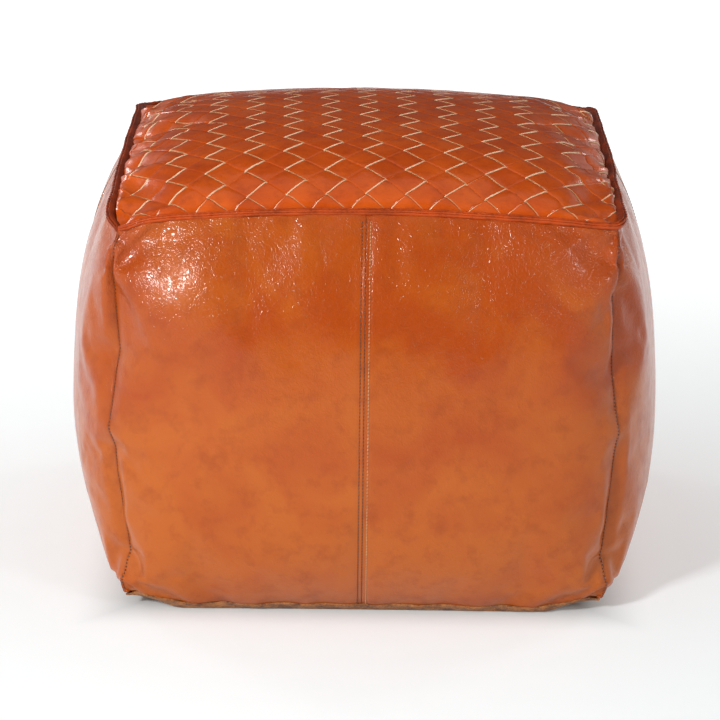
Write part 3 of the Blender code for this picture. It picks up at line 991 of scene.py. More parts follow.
BULGES = {
    "front_left_panel": (
        Bulge(0.026, 0.030, 0.016, -0.0040), Bulge(0.094, 0.080, 0.050, 0.0082),
        Bulge(0.024, 0.010, 0.012, 0.0022), Bulge(0.055, 0.170, 0.045, -0.0020)),
    "front_right_panel": (
        Bulge(0.030, 0.030, 0.020, -0.0025), Bulge(0.018, 0.050, 0.018, 0.0020),
        Bulge(0.060, 0.120, 0.045, 0.0015)),
}


@dataclass
class SidePanel:
    """One half of an upright side: a leather panel with its edges turned in at the seams."""

    node: str
    face: Surface
    centre_on_right: bool
    seed: float
    roll: float = 0.0004
    foot_roll: float = 0.0022
    reach: float = 0.0038
    gap: float = 0.00006
    foot_seam: float = 0.0102
    top_clear: float = 0.0022
    thickness: float = 0.0014
    columns: int = 84
    rows: int = 120
    panel_lean: float = 0.6
    corner_dip: float = 0.62
    corner_dip_run: float = 0.045
    tucked_top: tuple[float, float] = (0.0004, 0.0022)
    row_from_seam: float = 0.0038
    row_sunk: float = 0.00040
    pucker: float = 0.0015
    top_gather: float = 0.0004
    foot_gather: float = 0.0008
    broad_lump: float = 0.0009
    fine_lump: float = 0.00025
    corner_fade: float = 0.034
    top_fade: float = 0.022
    foot_fade: float = 0.030
    bulges: tuple[Bulge, ...] = ()
    mean_width: float = field(init=False)
    mean_height: float = field(init=False)

    def __post_init__(self) -> None:
        """Measure the panel's middle."""
        self.mean_width = float(self.face.width(np.array(0.5)))
        self.mean_height = float(self.face.height(np.array(0.5)))

    def _profile(self, roll: float) -> list[tuple[float, float]]:
        """Distance from the seam and depth below the form, from the hidden edge outwards."""
        turned = [(self.gap, self.reach), (self.gap, (self.reach + roll) / 2.0)]
        for step in range(6):
            angle = step / 5.0 * math.pi / 2.0
            turned.append((self.gap + roll * (1.0 - math.cos(angle)), roll * (1.0 - math.sin(angle))))
        return turned

    def dents(self, corner: np.ndarray, centre: np.ndarray, above: np.ndarray,
              below: np.ndarray) -> np.ndarray:
        """Height of the leather's puckers and dents above the form.

        Args:
            corner: Distance from the corner seam.
            centre: Distance from the centre seam.
            above: Distance from the foot.
            below: Distance from the piping.

        Returns:
            Height at each place, in metres.
        """
        zero = np.zeros_like(corner) + self.seed
        pulled = rumple(np.stack([corner / 0.055, above / 0.016, zero], -1), 1.0, self.seed)
        gathered = rumple(np.stack([corner / 0.019, below / 0.050, zero], -1), 1.0, self.seed + 4.0)
        broad = rumple(np.stack([corner, above, zero], -1), 0.070, self.seed + 8.0)
        fine = rumple(np.stack([corner, above, zero], -1), 0.013, self.seed + 12.0)
        near_corner = np.exp(-corner / self.corner_fade)
        near_top = np.exp(-below / self.top_fade)
        near_foot = np.exp(-above / self.foot_fade)
        height = (self.pucker * pulled * near_corner + self.top_gather * gathered * near_top
                  + self.foot_gather * gathered * near_foot + self.broad_lump * broad
                  + self.fine_lump * fine * (0.2 + near_corner + near_top))
        settled = smooth_step(np.minimum(corner, centre) / 0.004)
        sewn = self.row_sunk * np.exp(-((centre - self.row_from_seam) / 0.0011) ** 2)
        for bulge in self.bulges:
            away = (corner - bulge.from_corner) ** 2 + (below - bulge.below_piping) ** 2
            height = height + bulge.rise * np.exp(-away / bulge.radius ** 2)
        return height * settled - sewn

    def skin(self, u: np.ndarray, v: np.ndarray) -> tuple[np.ndarray, np.ndarray]:
        """Outer leather surface at u and v.

        Returns:
            The points, and the form's outward directions there.
        """
        width, height = self.face.width(v), self.face.height(u)
        right, left = (1.0 - u) * width, u * width
        corner, centre = (left, right) if self.centre_on_right else (right, left)
        normal = self.face.normal(u, v)
        points = self.face.at(u, v)
        rise = self.dents(corner, centre, v * height, (1.0 - v) * height)
        return points + normal * rise[..., None], normal

    def build(self, finishes: Finishes) -> bpy.types.Object:
        """Model the panel and dress it."""
        edge = self._profile(self.roll)
        foot = self._profile(self.foot_roll)
        inner = edge[-1][0]
        fractions, upright = (
            0.6 * line + 0.4 * smooth_step(line)
            for line in (np.linspace(0.0, 1.0, self.columns), np.linspace(0.0, 1.0, self.rows)))
        count = len(edge)
        depth_left = np.zeros(2 * count + self.columns - 2)
        depth_right = depth_left.copy()
        depth_left[:count] = [depth for _, depth in edge]
        depth_right[-count:] = [depth for _, depth in reversed(edge)]
        v_line = self._rows(foot, upright)
        depth_foot = np.zeros(len(v_line))
        depth_foot[:len(foot)] = [depth for _, depth in foot]
        depth_top = np.zeros(len(v_line))
        depth_top[-2:] = self.tucked_top

        width = self.face.width(v_line)[:, None]
        near = np.array([distance for distance, _ in edge])
        u = np.concatenate([
            near / width,
            (inner + fractions[1:-1] * (width - 2.0 * inner)) / width,
            1.0 - near[::-1] / width], axis=1)
        corner = (u if self.centre_on_right else 1.0 - u) * width
        lower = self.corner_dip * self.foot_seam / self.mean_height * (
            1.0 - smooth_step(corner / self.corner_dip_run))
        v = v_line[:, None] - lower * (1.0 - v_line[:, None]) ** 10
        points, normal = self.skin(u, v)
        corner_direction = unit(np.sign(points[:, :1, :] if self.centre_on_right
                                        else points[:, -1:, :]) * np.array([1.0, 1.0, 0.0]))
        corner_direction = np.broadcast_to(corner_direction, points.shape)
        plane = np.abs(points[-1, count, :2] - points[-1, -count, :2])
        flat_axis = int(np.argmax(plane))
        seam_direction = normal.copy()
        seam_direction[..., flat_axis] = 0.0
        seam_direction = unit(seam_direction)
        left = corner_direction if self.centre_on_right else seam_direction
        right = seam_direction if self.centre_on_right else corner_direction
        points = (points - left * depth_left[None, :, None] - right * depth_right[None, :, None]
                  - unit(normal - self.panel_lean * UP) * depth_foot[:, None, None]
                  - unit(normal + UP) * depth_top[:, None, None])
        piece = laid_grid(self.node + "_leather", points)
        apply_modifier(piece, "SOLIDIFY", thickness=self.thickness, offset=-1.0)
        self._shade_seams(piece, points)
        shade(piece, 60.0)
        dress(piece, [finishes.panel], nodes=[self.node])
        return piece

    def _rows(self, foot: list[tuple[float, float]], upright: np.ndarray) -> np.ndarray:
        """v of each row, from the foot seam up to the piping."""
        low = [(self.foot_seam + distance) / self.mean_height for distance, _ in foot]
        high = 1.0 - self.top_clear / self.mean_height
        return np.concatenate([low, low[-1] + upright[1:] * (high - low[-1]),
                               [1.0 - 0.4 * self.top_clear / self.mean_height]])

    def _shade_seams(self, piece: bpy.types.Object, points: np.ndarray) -> None:
        """Paint shade at the seams and along the foot line, a paler lower half that paints the
        floor's reflection, and creased upper corners.
        """
        flat = points.reshape(-1, 3)
        rows, columns = points.shape[:2]
        column = np.tile(np.arange(columns), rows)
        edge = np.minimum(column, columns - 1 - column)
        # painted shade: dark where the panel's edges turn into the seams, and along the foot line
        shade_value = np.where(edge < 8, 0.5, np.exp(-(edge - 8.0) / 2.0) * 0.2)
        foot = np.exp(-np.maximum(flat[:, 2] - 0.008, 0.0) / 0.014) * 0.6
        painted_shade = np.maximum(shade_value, foot)
        # a random tone for each panel, plus a paler lower half that paints the pale floor's
        # reflection
        tone = (0.08 * math.sin(self.seed * 2.3) - 0.32
                + 0.75 * smooth_step((0.32 - flat[:, 2]) / 0.26))
        corner = column if self.centre_on_right else columns - 1 - column
        corner = corner / columns * self.mean_width
        below = (rows - 1 - np.repeat(np.arange(rows), columns)) / rows * self.mean_height
        creased = 0.22 + 0.9 * np.exp(-(corner ** 2 + below ** 2) / 0.11 ** 2)
        creased += 0.35 * np.exp(-((self.mean_width - corner) ** 2 + below ** 2) / 0.04 ** 2)
        for name, values in (("seam_shade", painted_shade), ("hide_tone", tone), ("creased", creased)):
            paint(piece, name, np.concatenate([values, values]))   # outer side, then inner

    def row_of_stitches(self, from_seam: float, on_right: bool, pitch: float,
                        start: float = 0.012, end: float = 0.008
                        ) -> tuple[np.ndarray, np.ndarray]:
        """Places of one row of upright stitches.

        Args:
            from_seam: Distance of the row from the panel's edge.
            on_right: Whether that edge is the right one.
            pitch: Distance from stitch to stitch.
            start: Height of the first stitch above the foot line.
            end: Distance of the last stitch below the piping line.

        Returns:
            The places, and rows of own X, Y and Z directions: along, across and outwards.
        """
        run = np.arange(start, self.mean_height - end, pitch)
        v = run / self.mean_height
        share = from_seam / self.face.width(v)
        u = 1.0 - share if on_right else share
        places, normal = self.skin(u, v)
        along = unit(np.gradient(places, axis=0))
        across = unit(np.cross(normal, along))
        return places, np.stack([along, across, np.cross(along, across)], axis=1)


# --- stitches -----------------------------------------------------------------


@dataclass
class Stitches:
    """Rows of thread stitches, each a short bead of thread sunk in the leather."""

    name: str
    length: float = 0.0029
    thick: float = 0.00115
    slant: float = 10.0
    unevenness: float = 0.06
    places: list[np.ndarray] = field(default_factory=list)
    turns: list[np.ndarray] = field(default_factory=list)

    def add(self, row: tuple[np.ndarray, np.ndarray], lift: float = 0.0) -> None:
        """Add a row of places and directions, lifted off the leather."""
        places, turns = row
        self.places.append(places + turns[:, 2] * lift)
        self.turns.append(turns)

    def build(self, material: bpy.types.Material, slot: str) -> bpy.types.Object:
        """Model one stitch, copy it along every row and dress the result."""
        start_clean()
        bpy.ops.mesh.primitive_uv_sphere_add(segments=6, ring_count=5, radius=1.0)
        bead = bpy.context.object
        edit_all(
            bead,
            lambda: bpy.ops.transform.rotate(
                value=math.radians(90), orient_axis="Y", center_override=(0, 0, 0)),
            lambda: bpy.ops.transform.resize(
                value=(self.length / 2, self.thick / 2, self.thick / 2),
                center_override=(0, 0, 0)),
            lambda: bpy.ops.transform.rotate(
                value=math.radians(self.slant), orient_axis="Z", center_override=(0, 0, 0)))
        places, turns = np.concatenate(self.places), np.concatenate(self.turns)
        wobble = self.unevenness * rumple(places, 0.004, 3.0)[:, None]
        turns = np.stack([unit(turns[:, 0] + turns[:, 1] * wobble),
                          unit(turns[:, 1] - turns[:, 0] * wobble), turns[:, 2]], axis=1)
        piece = repeated(self.name, bead, places, turns)
        return dress(piece, [material])


# --- woven top ----------------------------------------------------------------


@dataclass
class WovenTop:
    """Top of crossed leather strips, laid cornerwise on a backing cloth and a pad."""

    surface: Surface
    half: float = 0.230
    strip: float = 0.025
    skives: tuple[float, float] = (0.0008, 0.0005)
    strip_reach: float = 0.986
    cells: int = 13
    drift: float = 0.030
    gather: float = 0.0030
    gather_run: float = 0.045
    slot: float = 0.0012
    thickness: float = 0.0010
    rise: float = 0.00056
    dive: float = 0.0016
    arch: float = 0.00014
    curl: float = 0.00022
    sunk: float = 0.0011
    tuck: float = 0.0014
    tuck_run: float = 0.0060
    backing_depth: float = 0.0032
    pad_depth: float = 0.0060
    pad_thickness: float = 0.0100

    def place(self, x: np.ndarray, y: np.ndarray) -> tuple[np.ndarray, np.ndarray]:
        """Form's points and outward directions at flat pattern places."""
        v = (y / self.half + 1.0) / 2.0
        u = (x / self.half + 1.0) / 2.0 - self.drift * v * (1.0 - (x / self.half) ** 2)
        normal = self.surface.normal(u, v, 0.004)
        return self.surface.at(u, v) + normal * self._gathers(x, y)[..., None], normal

    def _gathers(self, x: np.ndarray, y: np.ndarray) -> np.ndarray:
        """Height of the slanting creases where the top is gathered to its side piping."""
        side, ends = self.half - np.abs(x), self.half - np.abs(y)
        slanted = np.where(x < 0.0, y + x, y - x)
        lengthwise = np.where(x < 0.0, y - x, y + x)
        spot = np.stack([slanted / 0.013, lengthwise / 0.090, np.sign(x) * 3.0], -1)
        folds = 1.0 - 2.6 * np.abs(rumple(spot, 1.0, 6.0))
        share = np.exp(-side / self.gather_run) * smooth_step(side / 0.010)
        return self.gather * folds * share * smooth_step(ends / 0.035)

    def _section(self, skive: float) -> list[tuple[float, float, int]]:
        """Strip's cross-section as a ring.

        Args:
            skive: How far the sloping cut edge reaches out at its foot.

        Returns:
            Across, height, and the material of the side that follows.
        """
        half_width = (self.strip - self.slot - skive) / 2.0
        top, low = self.thickness / 2.0, -self.thickness / 2.0
        return [
            (-half_width - skive, low, 1), (-half_width, top - 0.00012, 0),
            (-half_width * 0.96, top - 0.00002, 0), (-half_width * 0.6, top, 0),
            (0.0, top, 0), (half_width * 0.6, top, 0),
            (half_width * 0.96, top - 0.00002, 0), (half_width, top - 0.00012, 1),
            (half_width + skive, low, 0), (0.0, low, 0),
        ]

    def _stations(self) -> np.ndarray:
        """Places along a full strip, close together where it dives between its neighbours."""
        share = np.array([-1.0, -0.6, -0.3, 0.0, 0.3, 0.6, 1.0]) * self.dive
        middle = np.array([0.28, 0.5, 0.72]) * self.strip
        line = []
        for cell in range(-self.cells, self.cells + 1):
            line.extend(cell * self.strip + share)
            line.extend(cell * self.strip + middle)
        return np.array(line)

    def _height(self, along: np.ndarray, number: int) -> np.ndarray:
        """Height of a strip's middle as it goes over and under."""
        edge = np.rint(along / self.strip)
        before = np.where((number + edge - 1) % 2 == 0, 1.0, -1.0)
        share = smooth_step(((along - edge * self.strip) / self.dive + 1.0) / 2.0)
        height = self.rise * (before - 2.0 * before * share)
        arch = np.abs(np.sin(along / self.strip * math.pi)) ** 0.7
        return height + self.arch * arch * np.where(height > 0, 1.0, -0.2)

    def _strip(self, number: int, rising: bool,
               section: list[tuple[float, float, int]]) -> tuple[
                   bpy.types.Object, np.ndarray, np.ndarray]:
        """Model one strip.

        Args:
            number: Which strip, counted from the middle of the top.
            rising: Whether it runs from the near left to the far right.
            section: Its cross-section.

        Returns:
            The strip, and its seam_shade and hide_tone at each vertex.
        """
        wander = Vector((number * 0.77, 1.5 if rising else 7.5, 0.3))
        width_scale = 1.0 + 0.02 * noise.noise(wander)
        shift = 0.00035 * noise.noise(wander + Vector((9.1, 0, 0)))
        tone = 0.22 * noise.noise(wander + Vector((0, 9.1, 0)))
        middle = (number + 0.5) * self.strip
        ring = np.array([item[:2] for item in [*section, section[0]]])
        across = middle + shift + width_scale * ring[:, 0]
        root = math.sqrt(2.0)
        limit = np.maximum(root * self.half * self.strip_reach - np.abs(across), 0.0)
        along = np.clip(self._stations()[:, None], -limit, limit)
        sideways = np.broadcast_to(across, along.shape)
        if rising:
            x, y = (along - sideways) / root, (along + sideways) / root
        else:
            x, y = (along + sideways) / root, (sideways - along) / root
        base, normal = self.place(x, y)
        border = np.minimum(self.half - np.abs(x), self.half - np.abs(y))
        inside = smooth_step(border / self.tuck_run)
        height = self._height(along, number) * inside - self.tuck * (1.0 - inside)
        curl = self.curl * rumple(np.stack([x, y, x * 0 + number], -1), 0.011, 2.0)
        lift = height + ring[:, 1] + curl * inside - self.sunk
        strip = laid_grid(f"strip_{number}", (base + normal * lift[..., None])[::-1])

        # painted shade: darker where the strip dives under its neighbours and along its cut edges
        dive_gap = np.abs(along - np.rint(along / self.strip) * self.strip)
        edge_gap = np.minimum(np.abs(np.abs(sideways - middle) - self.strip / 2.0), self.strip)
        dark = 0.15 * np.maximum(np.exp(-dive_gap / 0.0016), np.exp(-edge_gap / 0.0010))
        cell = np.floor(along / self.strip)
        spots = np.stack([cell * 0.83, cell * 0 + number * 0.71, cell * 0], -1)
        cell_tone = tone + 0.30 * rumple(spots, 1.0, 8.0)
        return strip, dark[::-1].ravel(), cell_tone[::-1].ravel()

    def _strips(self, name: str, rising: bool, edge_material: bpy.types.Material,
                finishes: Finishes) -> bpy.types.Object:
        """Model and join the strips that run one way.

        Args:
            name: Name of the piece.
            rising: Whether they run from the near left to the far right.
            edge_material: Finish of their cut edges.
            finishes: The pouf's materials.

        Returns:
            The piece.
        """
        section = self._section(self.skives[0 if rising else 1])
        cut = [column for column, item in enumerate(section) if item[2]]
        pieces, shades, tones = [], [], []
        for number in range(-self.cells, self.cells):
            strip, dark, tone = self._strip(number, rising, section)
            for material in (finishes.strip, edge_material):
                strip.data.materials.append(material)
            indices = np.zeros(len(strip.data.polygons), dtype=int)
            for column in cut:
                indices[column::len(section)] = 1
            strip.data.polygons.foreach_set("material_index", indices)
            pieces.append(strip)
            shades.append(dark)
            tones.append(tone)
        piece = joined(name, pieces)
        paint(piece, "seam_shade", np.concatenate(shades))
        paint(piece, "hide_tone", np.concatenate(tones))
        edit_all(
            piece,
            lambda: bpy.ops.mesh.remove_doubles(threshold=0.03 * MM),
            lambda: bpy.ops.mesh.dissolve_degenerate(threshold=0.03 * MM),
            lambda: bpy.ops.mesh.normals_make_consistent(inside=False))
        shade(piece, 45.0)
        dress(piece, [finishes.strip, edge_material],
              nodes=["woven_top_panel"] if rising else [])
        return piece

    def _layer(self, name: str, depth: float, thickness: float, cells: int,
               lumps: float) -> bpy.types.Object:
        """Cloth or wadding layer that follows the top.

        Args:
            name: Name of the piece.
            depth: Depth of its upper side below the top.
            thickness: Its thickness.
            cells: Number of points along each side.
            lumps: Height of its lumps.

        Returns:
            The new piece.
        """
        line = np.linspace(-1.0, 1.0, cells) * self.half * 0.968
        x, y = np.meshgrid(line, line)
        base, normal = self.place(x, y)
        low = rumple(np.stack([x, y, x * 0], -1), 0.018, 5.0) * lumps
        border = np.minimum(self.half - np.abs(x), self.half - np.abs(y))
        deep = depth + 0.0065 * (1.0 - smooth_step(border / 0.040))
        piece = laid_grid(name, base - normal * (deep - low)[..., None])
        apply_modifier(piece, "SOLIDIFY", thickness=thickness, offset=-1.0)
        shade(piece, 60.0)
        return piece

    def build(self, finishes: Finishes) -> None:
        """Model the strips and what lies under them."""
        self._strips("rising_strips", True, finishes.cut_edge, finishes)
        self._strips("falling_strips", False, finishes.shaded_cut_edge, finishes)
        cloth = self._layer("backing_cloth", self.backing_depth, 0.0006, 90, 0.0)
        dress(cloth, [finishes.cotton], nodes=["top_backing_cloth"])
        pad = self._layer("wadding_pad", self.pad_depth, self.pad_thickness, 70, 0.0003)
        dress(pad, [finishes.wadding], nodes=["crown_pad"])


# --- piping -------------------------------------------------------------------


@dataclass
class Piping:
    """Folded binding round the top: three rolled ridges, its two ends pinched at one corner."""

    surface: Surface
    width: float = 0.0068
    crown: float = 0.0024
    ridge: float = 0.0009
    base: float = 0.0012
    step: float = 0.0016
    corner_radius: float = 0.006
    pinch_run: float = 0.010
    pinch_sunk: float = 0.0012
    rib_pitch: float = 0.0052
    section_points: int = 25

    def _path(self) -> np.ndarray:
        """Line round the top's edge, from the front left corner and back to it."""
        line = np.linspace(0.0, 1.0, 240)
        one, zero = np.ones_like(line), np.zeros_like(line)
        sides = [self.surface.at(line, zero), self.surface.at(one, line),
                 self.surface.at(line[::-1], one), self.surface.at(zero, line[::-1])]
        path = np.concatenate([side[:-1] for side in sides] + [sides[0][:1]])
        run = np.concatenate([[0.0], np.cumsum(np.linalg.norm(np.diff(path, axis=0), axis=1))])
        count = int(run[-1] / self.step)
        wanted = np.linspace(0.0, run[-1], count)
        even = np.stack([np.interp(wanted, run, path[:, axis]) for axis in range(3)], -1)
        rounds = int((self.corner_radius / self.step) ** 2 / 2)
        for _ in range(rounds):
            even[1:-1] = 0.5 * even[1:-1] + 0.25 * (even[:-2] + even[2:])
        return even

    def _section(self) -> tuple[np.ndarray, np.ndarray, np.ndarray]:
        """Ridged cross-section of the binding, as a closed ring.

        Returns:
            Place across and height of each corner, and how deep it lies between the ridges.
        """
        offsets = np.linspace(-1.0, 1.0, self.section_points)
        ridges = np.abs(np.cos(offsets * 1.5 * math.pi)) ** 0.6
        height = self.crown * np.cos(offsets * math.pi / 2.0) ** 0.8 + self.ridge * ridges
        section = [(offset * self.width / 2.0, rise) for offset, rise in zip(offsets, height)]
        section += [(self.width * 0.46, -self.base), (0.0, -self.base * 1.3),
                    (-self.width * 0.46, -self.base)]
        across, out = np.array([*section, section[0]]).T
        return across, out, np.concatenate([0.7 * (1.0 - ridges), np.ones(4)])

    def build(self, finishes: Finishes) -> bpy.types.Object:
        """Sweep the ridged section along the edge and dress it."""
        path = self._path()
        tangent = unit(np.gradient(path, axis=0))
        outward = unit(np.cross(tangent, UP))
        run = np.arange(len(path)) * self.step
        spot = np.stack([run, run * 0, run * 0], -1)
        lean = 0.75 + 0.22 * rumple(spot, 0.075, 1.0)
        face = unit(outward + UP * lean[:, None])
        across = np.cross(tangent, face)
        sides = np.clip(np.abs(outward[:, 0]), 0.0, 1.0) ** 2
        swing = ((0.0006 + 0.0030 * sides) * rumple(spot, 0.052, 2.0)
                 + 0.00035 * rumple(spot, 0.016, 3.0))
        pinch = np.exp(-run / self.pinch_run) + np.exp(-(run[-1] - run) / self.pinch_run)
        wave = run / self.rib_pitch * 2.0 * math.pi + 2.0 * rumple(spot, 0.02, 6.0)
        ribs = 1.0 + 0.10 * np.sin(wave)
        narrow = 1.0 - 0.30 * np.minimum(pinch, 1.0)
        wide = narrow * (1.0 + 0.2 * sides)
        tall = ribs * narrow * (1.0 + 0.9 * sides)
        sunk = self.pinch_sunk * pinch

        place_across, place_out, valley = self._section()
        sideways = place_across[None, :] * wide[:, None] + swing[:, None]
        risen = place_out[None, :] * tall[:, None] - sunk[:, None] - 0.0002
        piece = laid_grid("folded_piping", path[:, None, :] + across[:, None, :] * sideways[..., None]
                          + face[:, None, :] * risen[..., None])
        # painted light: the binding lighter where it faces the front, darker along the sides
        tone = -0.45 + 0.85 * np.clip(-outward[:, 1], 0.0, 1.0) ** 2
        paint(piece, "hide_tone", np.repeat(tone, len(valley)))
        # painted shade in the valleys between the ridges
        paint(piece, "seam_shade", np.tile(valley, len(path)))
        edit_all(
            piece,
            lambda: bpy.ops.mesh.remove_doubles(threshold=0.02 * MM),
            lambda: bpy.ops.mesh.fill_holes(sides=0),
            lambda: bpy.ops.mesh.normals_make_consistent(inside=False))
        shade(piece, 50.0)
        dress(piece, [finishes.piping], nodes=["top_piping"])
        LOG.info("piping runs %.3f m", run[-1])
        return piece


# --- bottom -------------------------------------------------------------------


@dataclass
class SuedeHalf:
    """One half of the suede bottom, turned up at the foot and folded back along the zip."""

    node: str
    form: StuffedForm
    front: bool
    rim: float = 0.0108
    half_gap: float = 0.0085
    gap_half_length: float = 0.195
    gap_end: float = 0.006
    zip_rise: float = 0.004
    zip_run: float = 0.016
    thickness: float = 0.0016
    lip: float = 0.0016
    columns: int = 150
    rows: int = 60
    rim_rows: int = 7
    closed_gap: float = 0.00012

    def _gap(self, x: np.ndarray) -> np.ndarray:
        """Half width of the zip's opening at each x."""
        closing = smooth_step((np.abs(x) - self.gap_half_length) / self.gap_end)
        return self.half_gap * (1.0 - closing) + self.closed_gap * closing

    def _foot(self, s: np.ndarray, t: np.ndarray, climb: np.ndarray) -> np.ndarray:
        """Points of the form at the foot: under it, or climb metres up its sides."""
        under = self.form.surfaces[Face.BOTTOM]
        points = under.at((s + 1.0) / 2.0, (1.0 - t) / 2.0)
        for face in (Face.FRONT, Face.BACK, Face.LEFT, Face.RIGHT):
            (look, look_sign), (right, right_sign), _ = face.value
            place, side = (s, t) if right == 0 else (t, s)
            here = (climb > 0.0) & (np.sign(side) == look_sign) & (np.abs(side) >= np.abs(place))
            surface = self.form.surfaces[face]
            u = (right_sign * place + 1.0) / 2.0
            slope = surface.height(np.array(0.5))
            risen = surface.at(u, self._upward(face, climb / slope))
            points = np.where(here[..., None], risen, points)
        return points

    def _upward(self, face: Face, share: np.ndarray) -> np.ndarray:
        """v on a side face for a share of its height, which its net does not spread evenly."""
        net = self.form.surfaces[face].net[:, self.form.cuts // 2]
        run = np.concatenate([[0.0], np.cumsum(np.linalg.norm(np.diff(net, axis=0), axis=1))])
        return np.interp(share * run[-1], run, np.linspace(0.0, 1.0, len(run)))

    def build(self, finishes: Finishes) -> bpy.types.Object:
        """Model the half and dress it."""
        sign = -1.0 if self.front else 1.0
        flat = np.linspace(-1.0, 1.0, self.columns)
        flat = 0.75 * flat + 0.25 * np.sin(flat * math.pi / 2.0)
        rim = np.linspace(0.0, 1.0, self.rim_rows + 1)[1:]
        s_line = np.concatenate([-np.ones(self.rim_rows), flat, np.ones(self.rim_rows)])
        s_climb = np.concatenate([rim[::-1], np.zeros(self.columns), rim])
        share = np.linspace(0.0, 1.0, self.rows) ** 1.3
        edge = self.form.foot_half
        start = self._gap(s_line * edge) / edge
        t_grid = sign * (start[None, :] + (1.0 - start[None, :]) * share[:, None])
        t_grid = np.concatenate([t_grid, np.full((self.rim_rows, len(s_line)), sign)])
        s_grid = np.broadcast_to(s_line, t_grid.shape)
        t_climb = np.concatenate([np.zeros(self.rows), rim])
        climb = np.maximum(s_climb[None, :], t_climb[:, None])
        taper = self._rim_height(s_grid, t_grid)
        points = self._foot(s_grid, t_grid, climb * taper)
        outward = np.stack([points[..., 0], points[..., 1], points[..., 0] * 0], -1)
        side = np.where((np.abs(s_grid) >= np.abs(t_grid))[..., None],
                        np.array([1.0, 0, 0]), np.array([0, 1.0, 0]))
        outward = unit(outward * side + 1e-9)
        lump = rumple(points, 0.0045, 1.0) * 0.0009 + rumple(points, 0.022, 2.0) * 0.0006
        corner = smooth_step((np.minimum(np.abs(s_grid), np.abs(t_grid)) - 0.86) / 0.12)
        proud = (self.lip + lump) * smooth_step(climb * 1.2) * (1.0 - corner)
        points = points + outward * proud[..., None]
        from_gap = np.abs(points[..., 1]) - self._gap(points[..., 0])
        along = 1.0 - smooth_step((np.abs(points[..., 0]) - self.gap_half_length) / self.gap_end)
        raised = self.zip_rise * (1.0 - smooth_step(from_gap / self.zip_run)) * along
        points[..., 2] += raised * (climb == 0.0)
        points[..., 2] = np.maximum(points[..., 2], 0.0)
        piece = laid_grid(self.node + "_suede", points[::-1] if self.front else points)
        edit_all(
            piece,
            lambda: bpy.ops.mesh.remove_doubles(threshold=0.03 * MM),
            lambda: bpy.ops.mesh.dissolve_degenerate(threshold=0.03 * MM))
        self._face_down(piece)
        apply_modifier(piece, "SOLIDIFY", thickness=self.thickness, offset=-1.0)
        shade(piece, 50.0)
        dress(piece, [finishes.suede], nodes=[self.node])
        return piece

    def _rim_height(self, s: np.ndarray, t: np.ndarray) -> np.ndarray:
        """Height of the turned-up rim: tall along the sides, low at the corners."""
        corner = smooth_step((np.minimum(np.abs(s), np.abs(t)) - 0.80) / 0.18)
        wave = 0.0009 * rumple(np.stack([s, t, s * 0], -1), 0.12, 4.0)
        return self.rim * (1.0 - 0.75 * corner) + wave

    @staticmethod
    def _face_down(piece: bpy.types.Object) -> None:
        """Make the mesh's faces look down and outwards."""
        mesh = piece.data
        middle = max(mesh.polygons, key=lambda face: face.area)
        if middle.normal.z > 0:
            edit_all(piece, lambda: bpy.ops.mesh.flip_normals())


# --- zip ----------------------------------------------------------------------


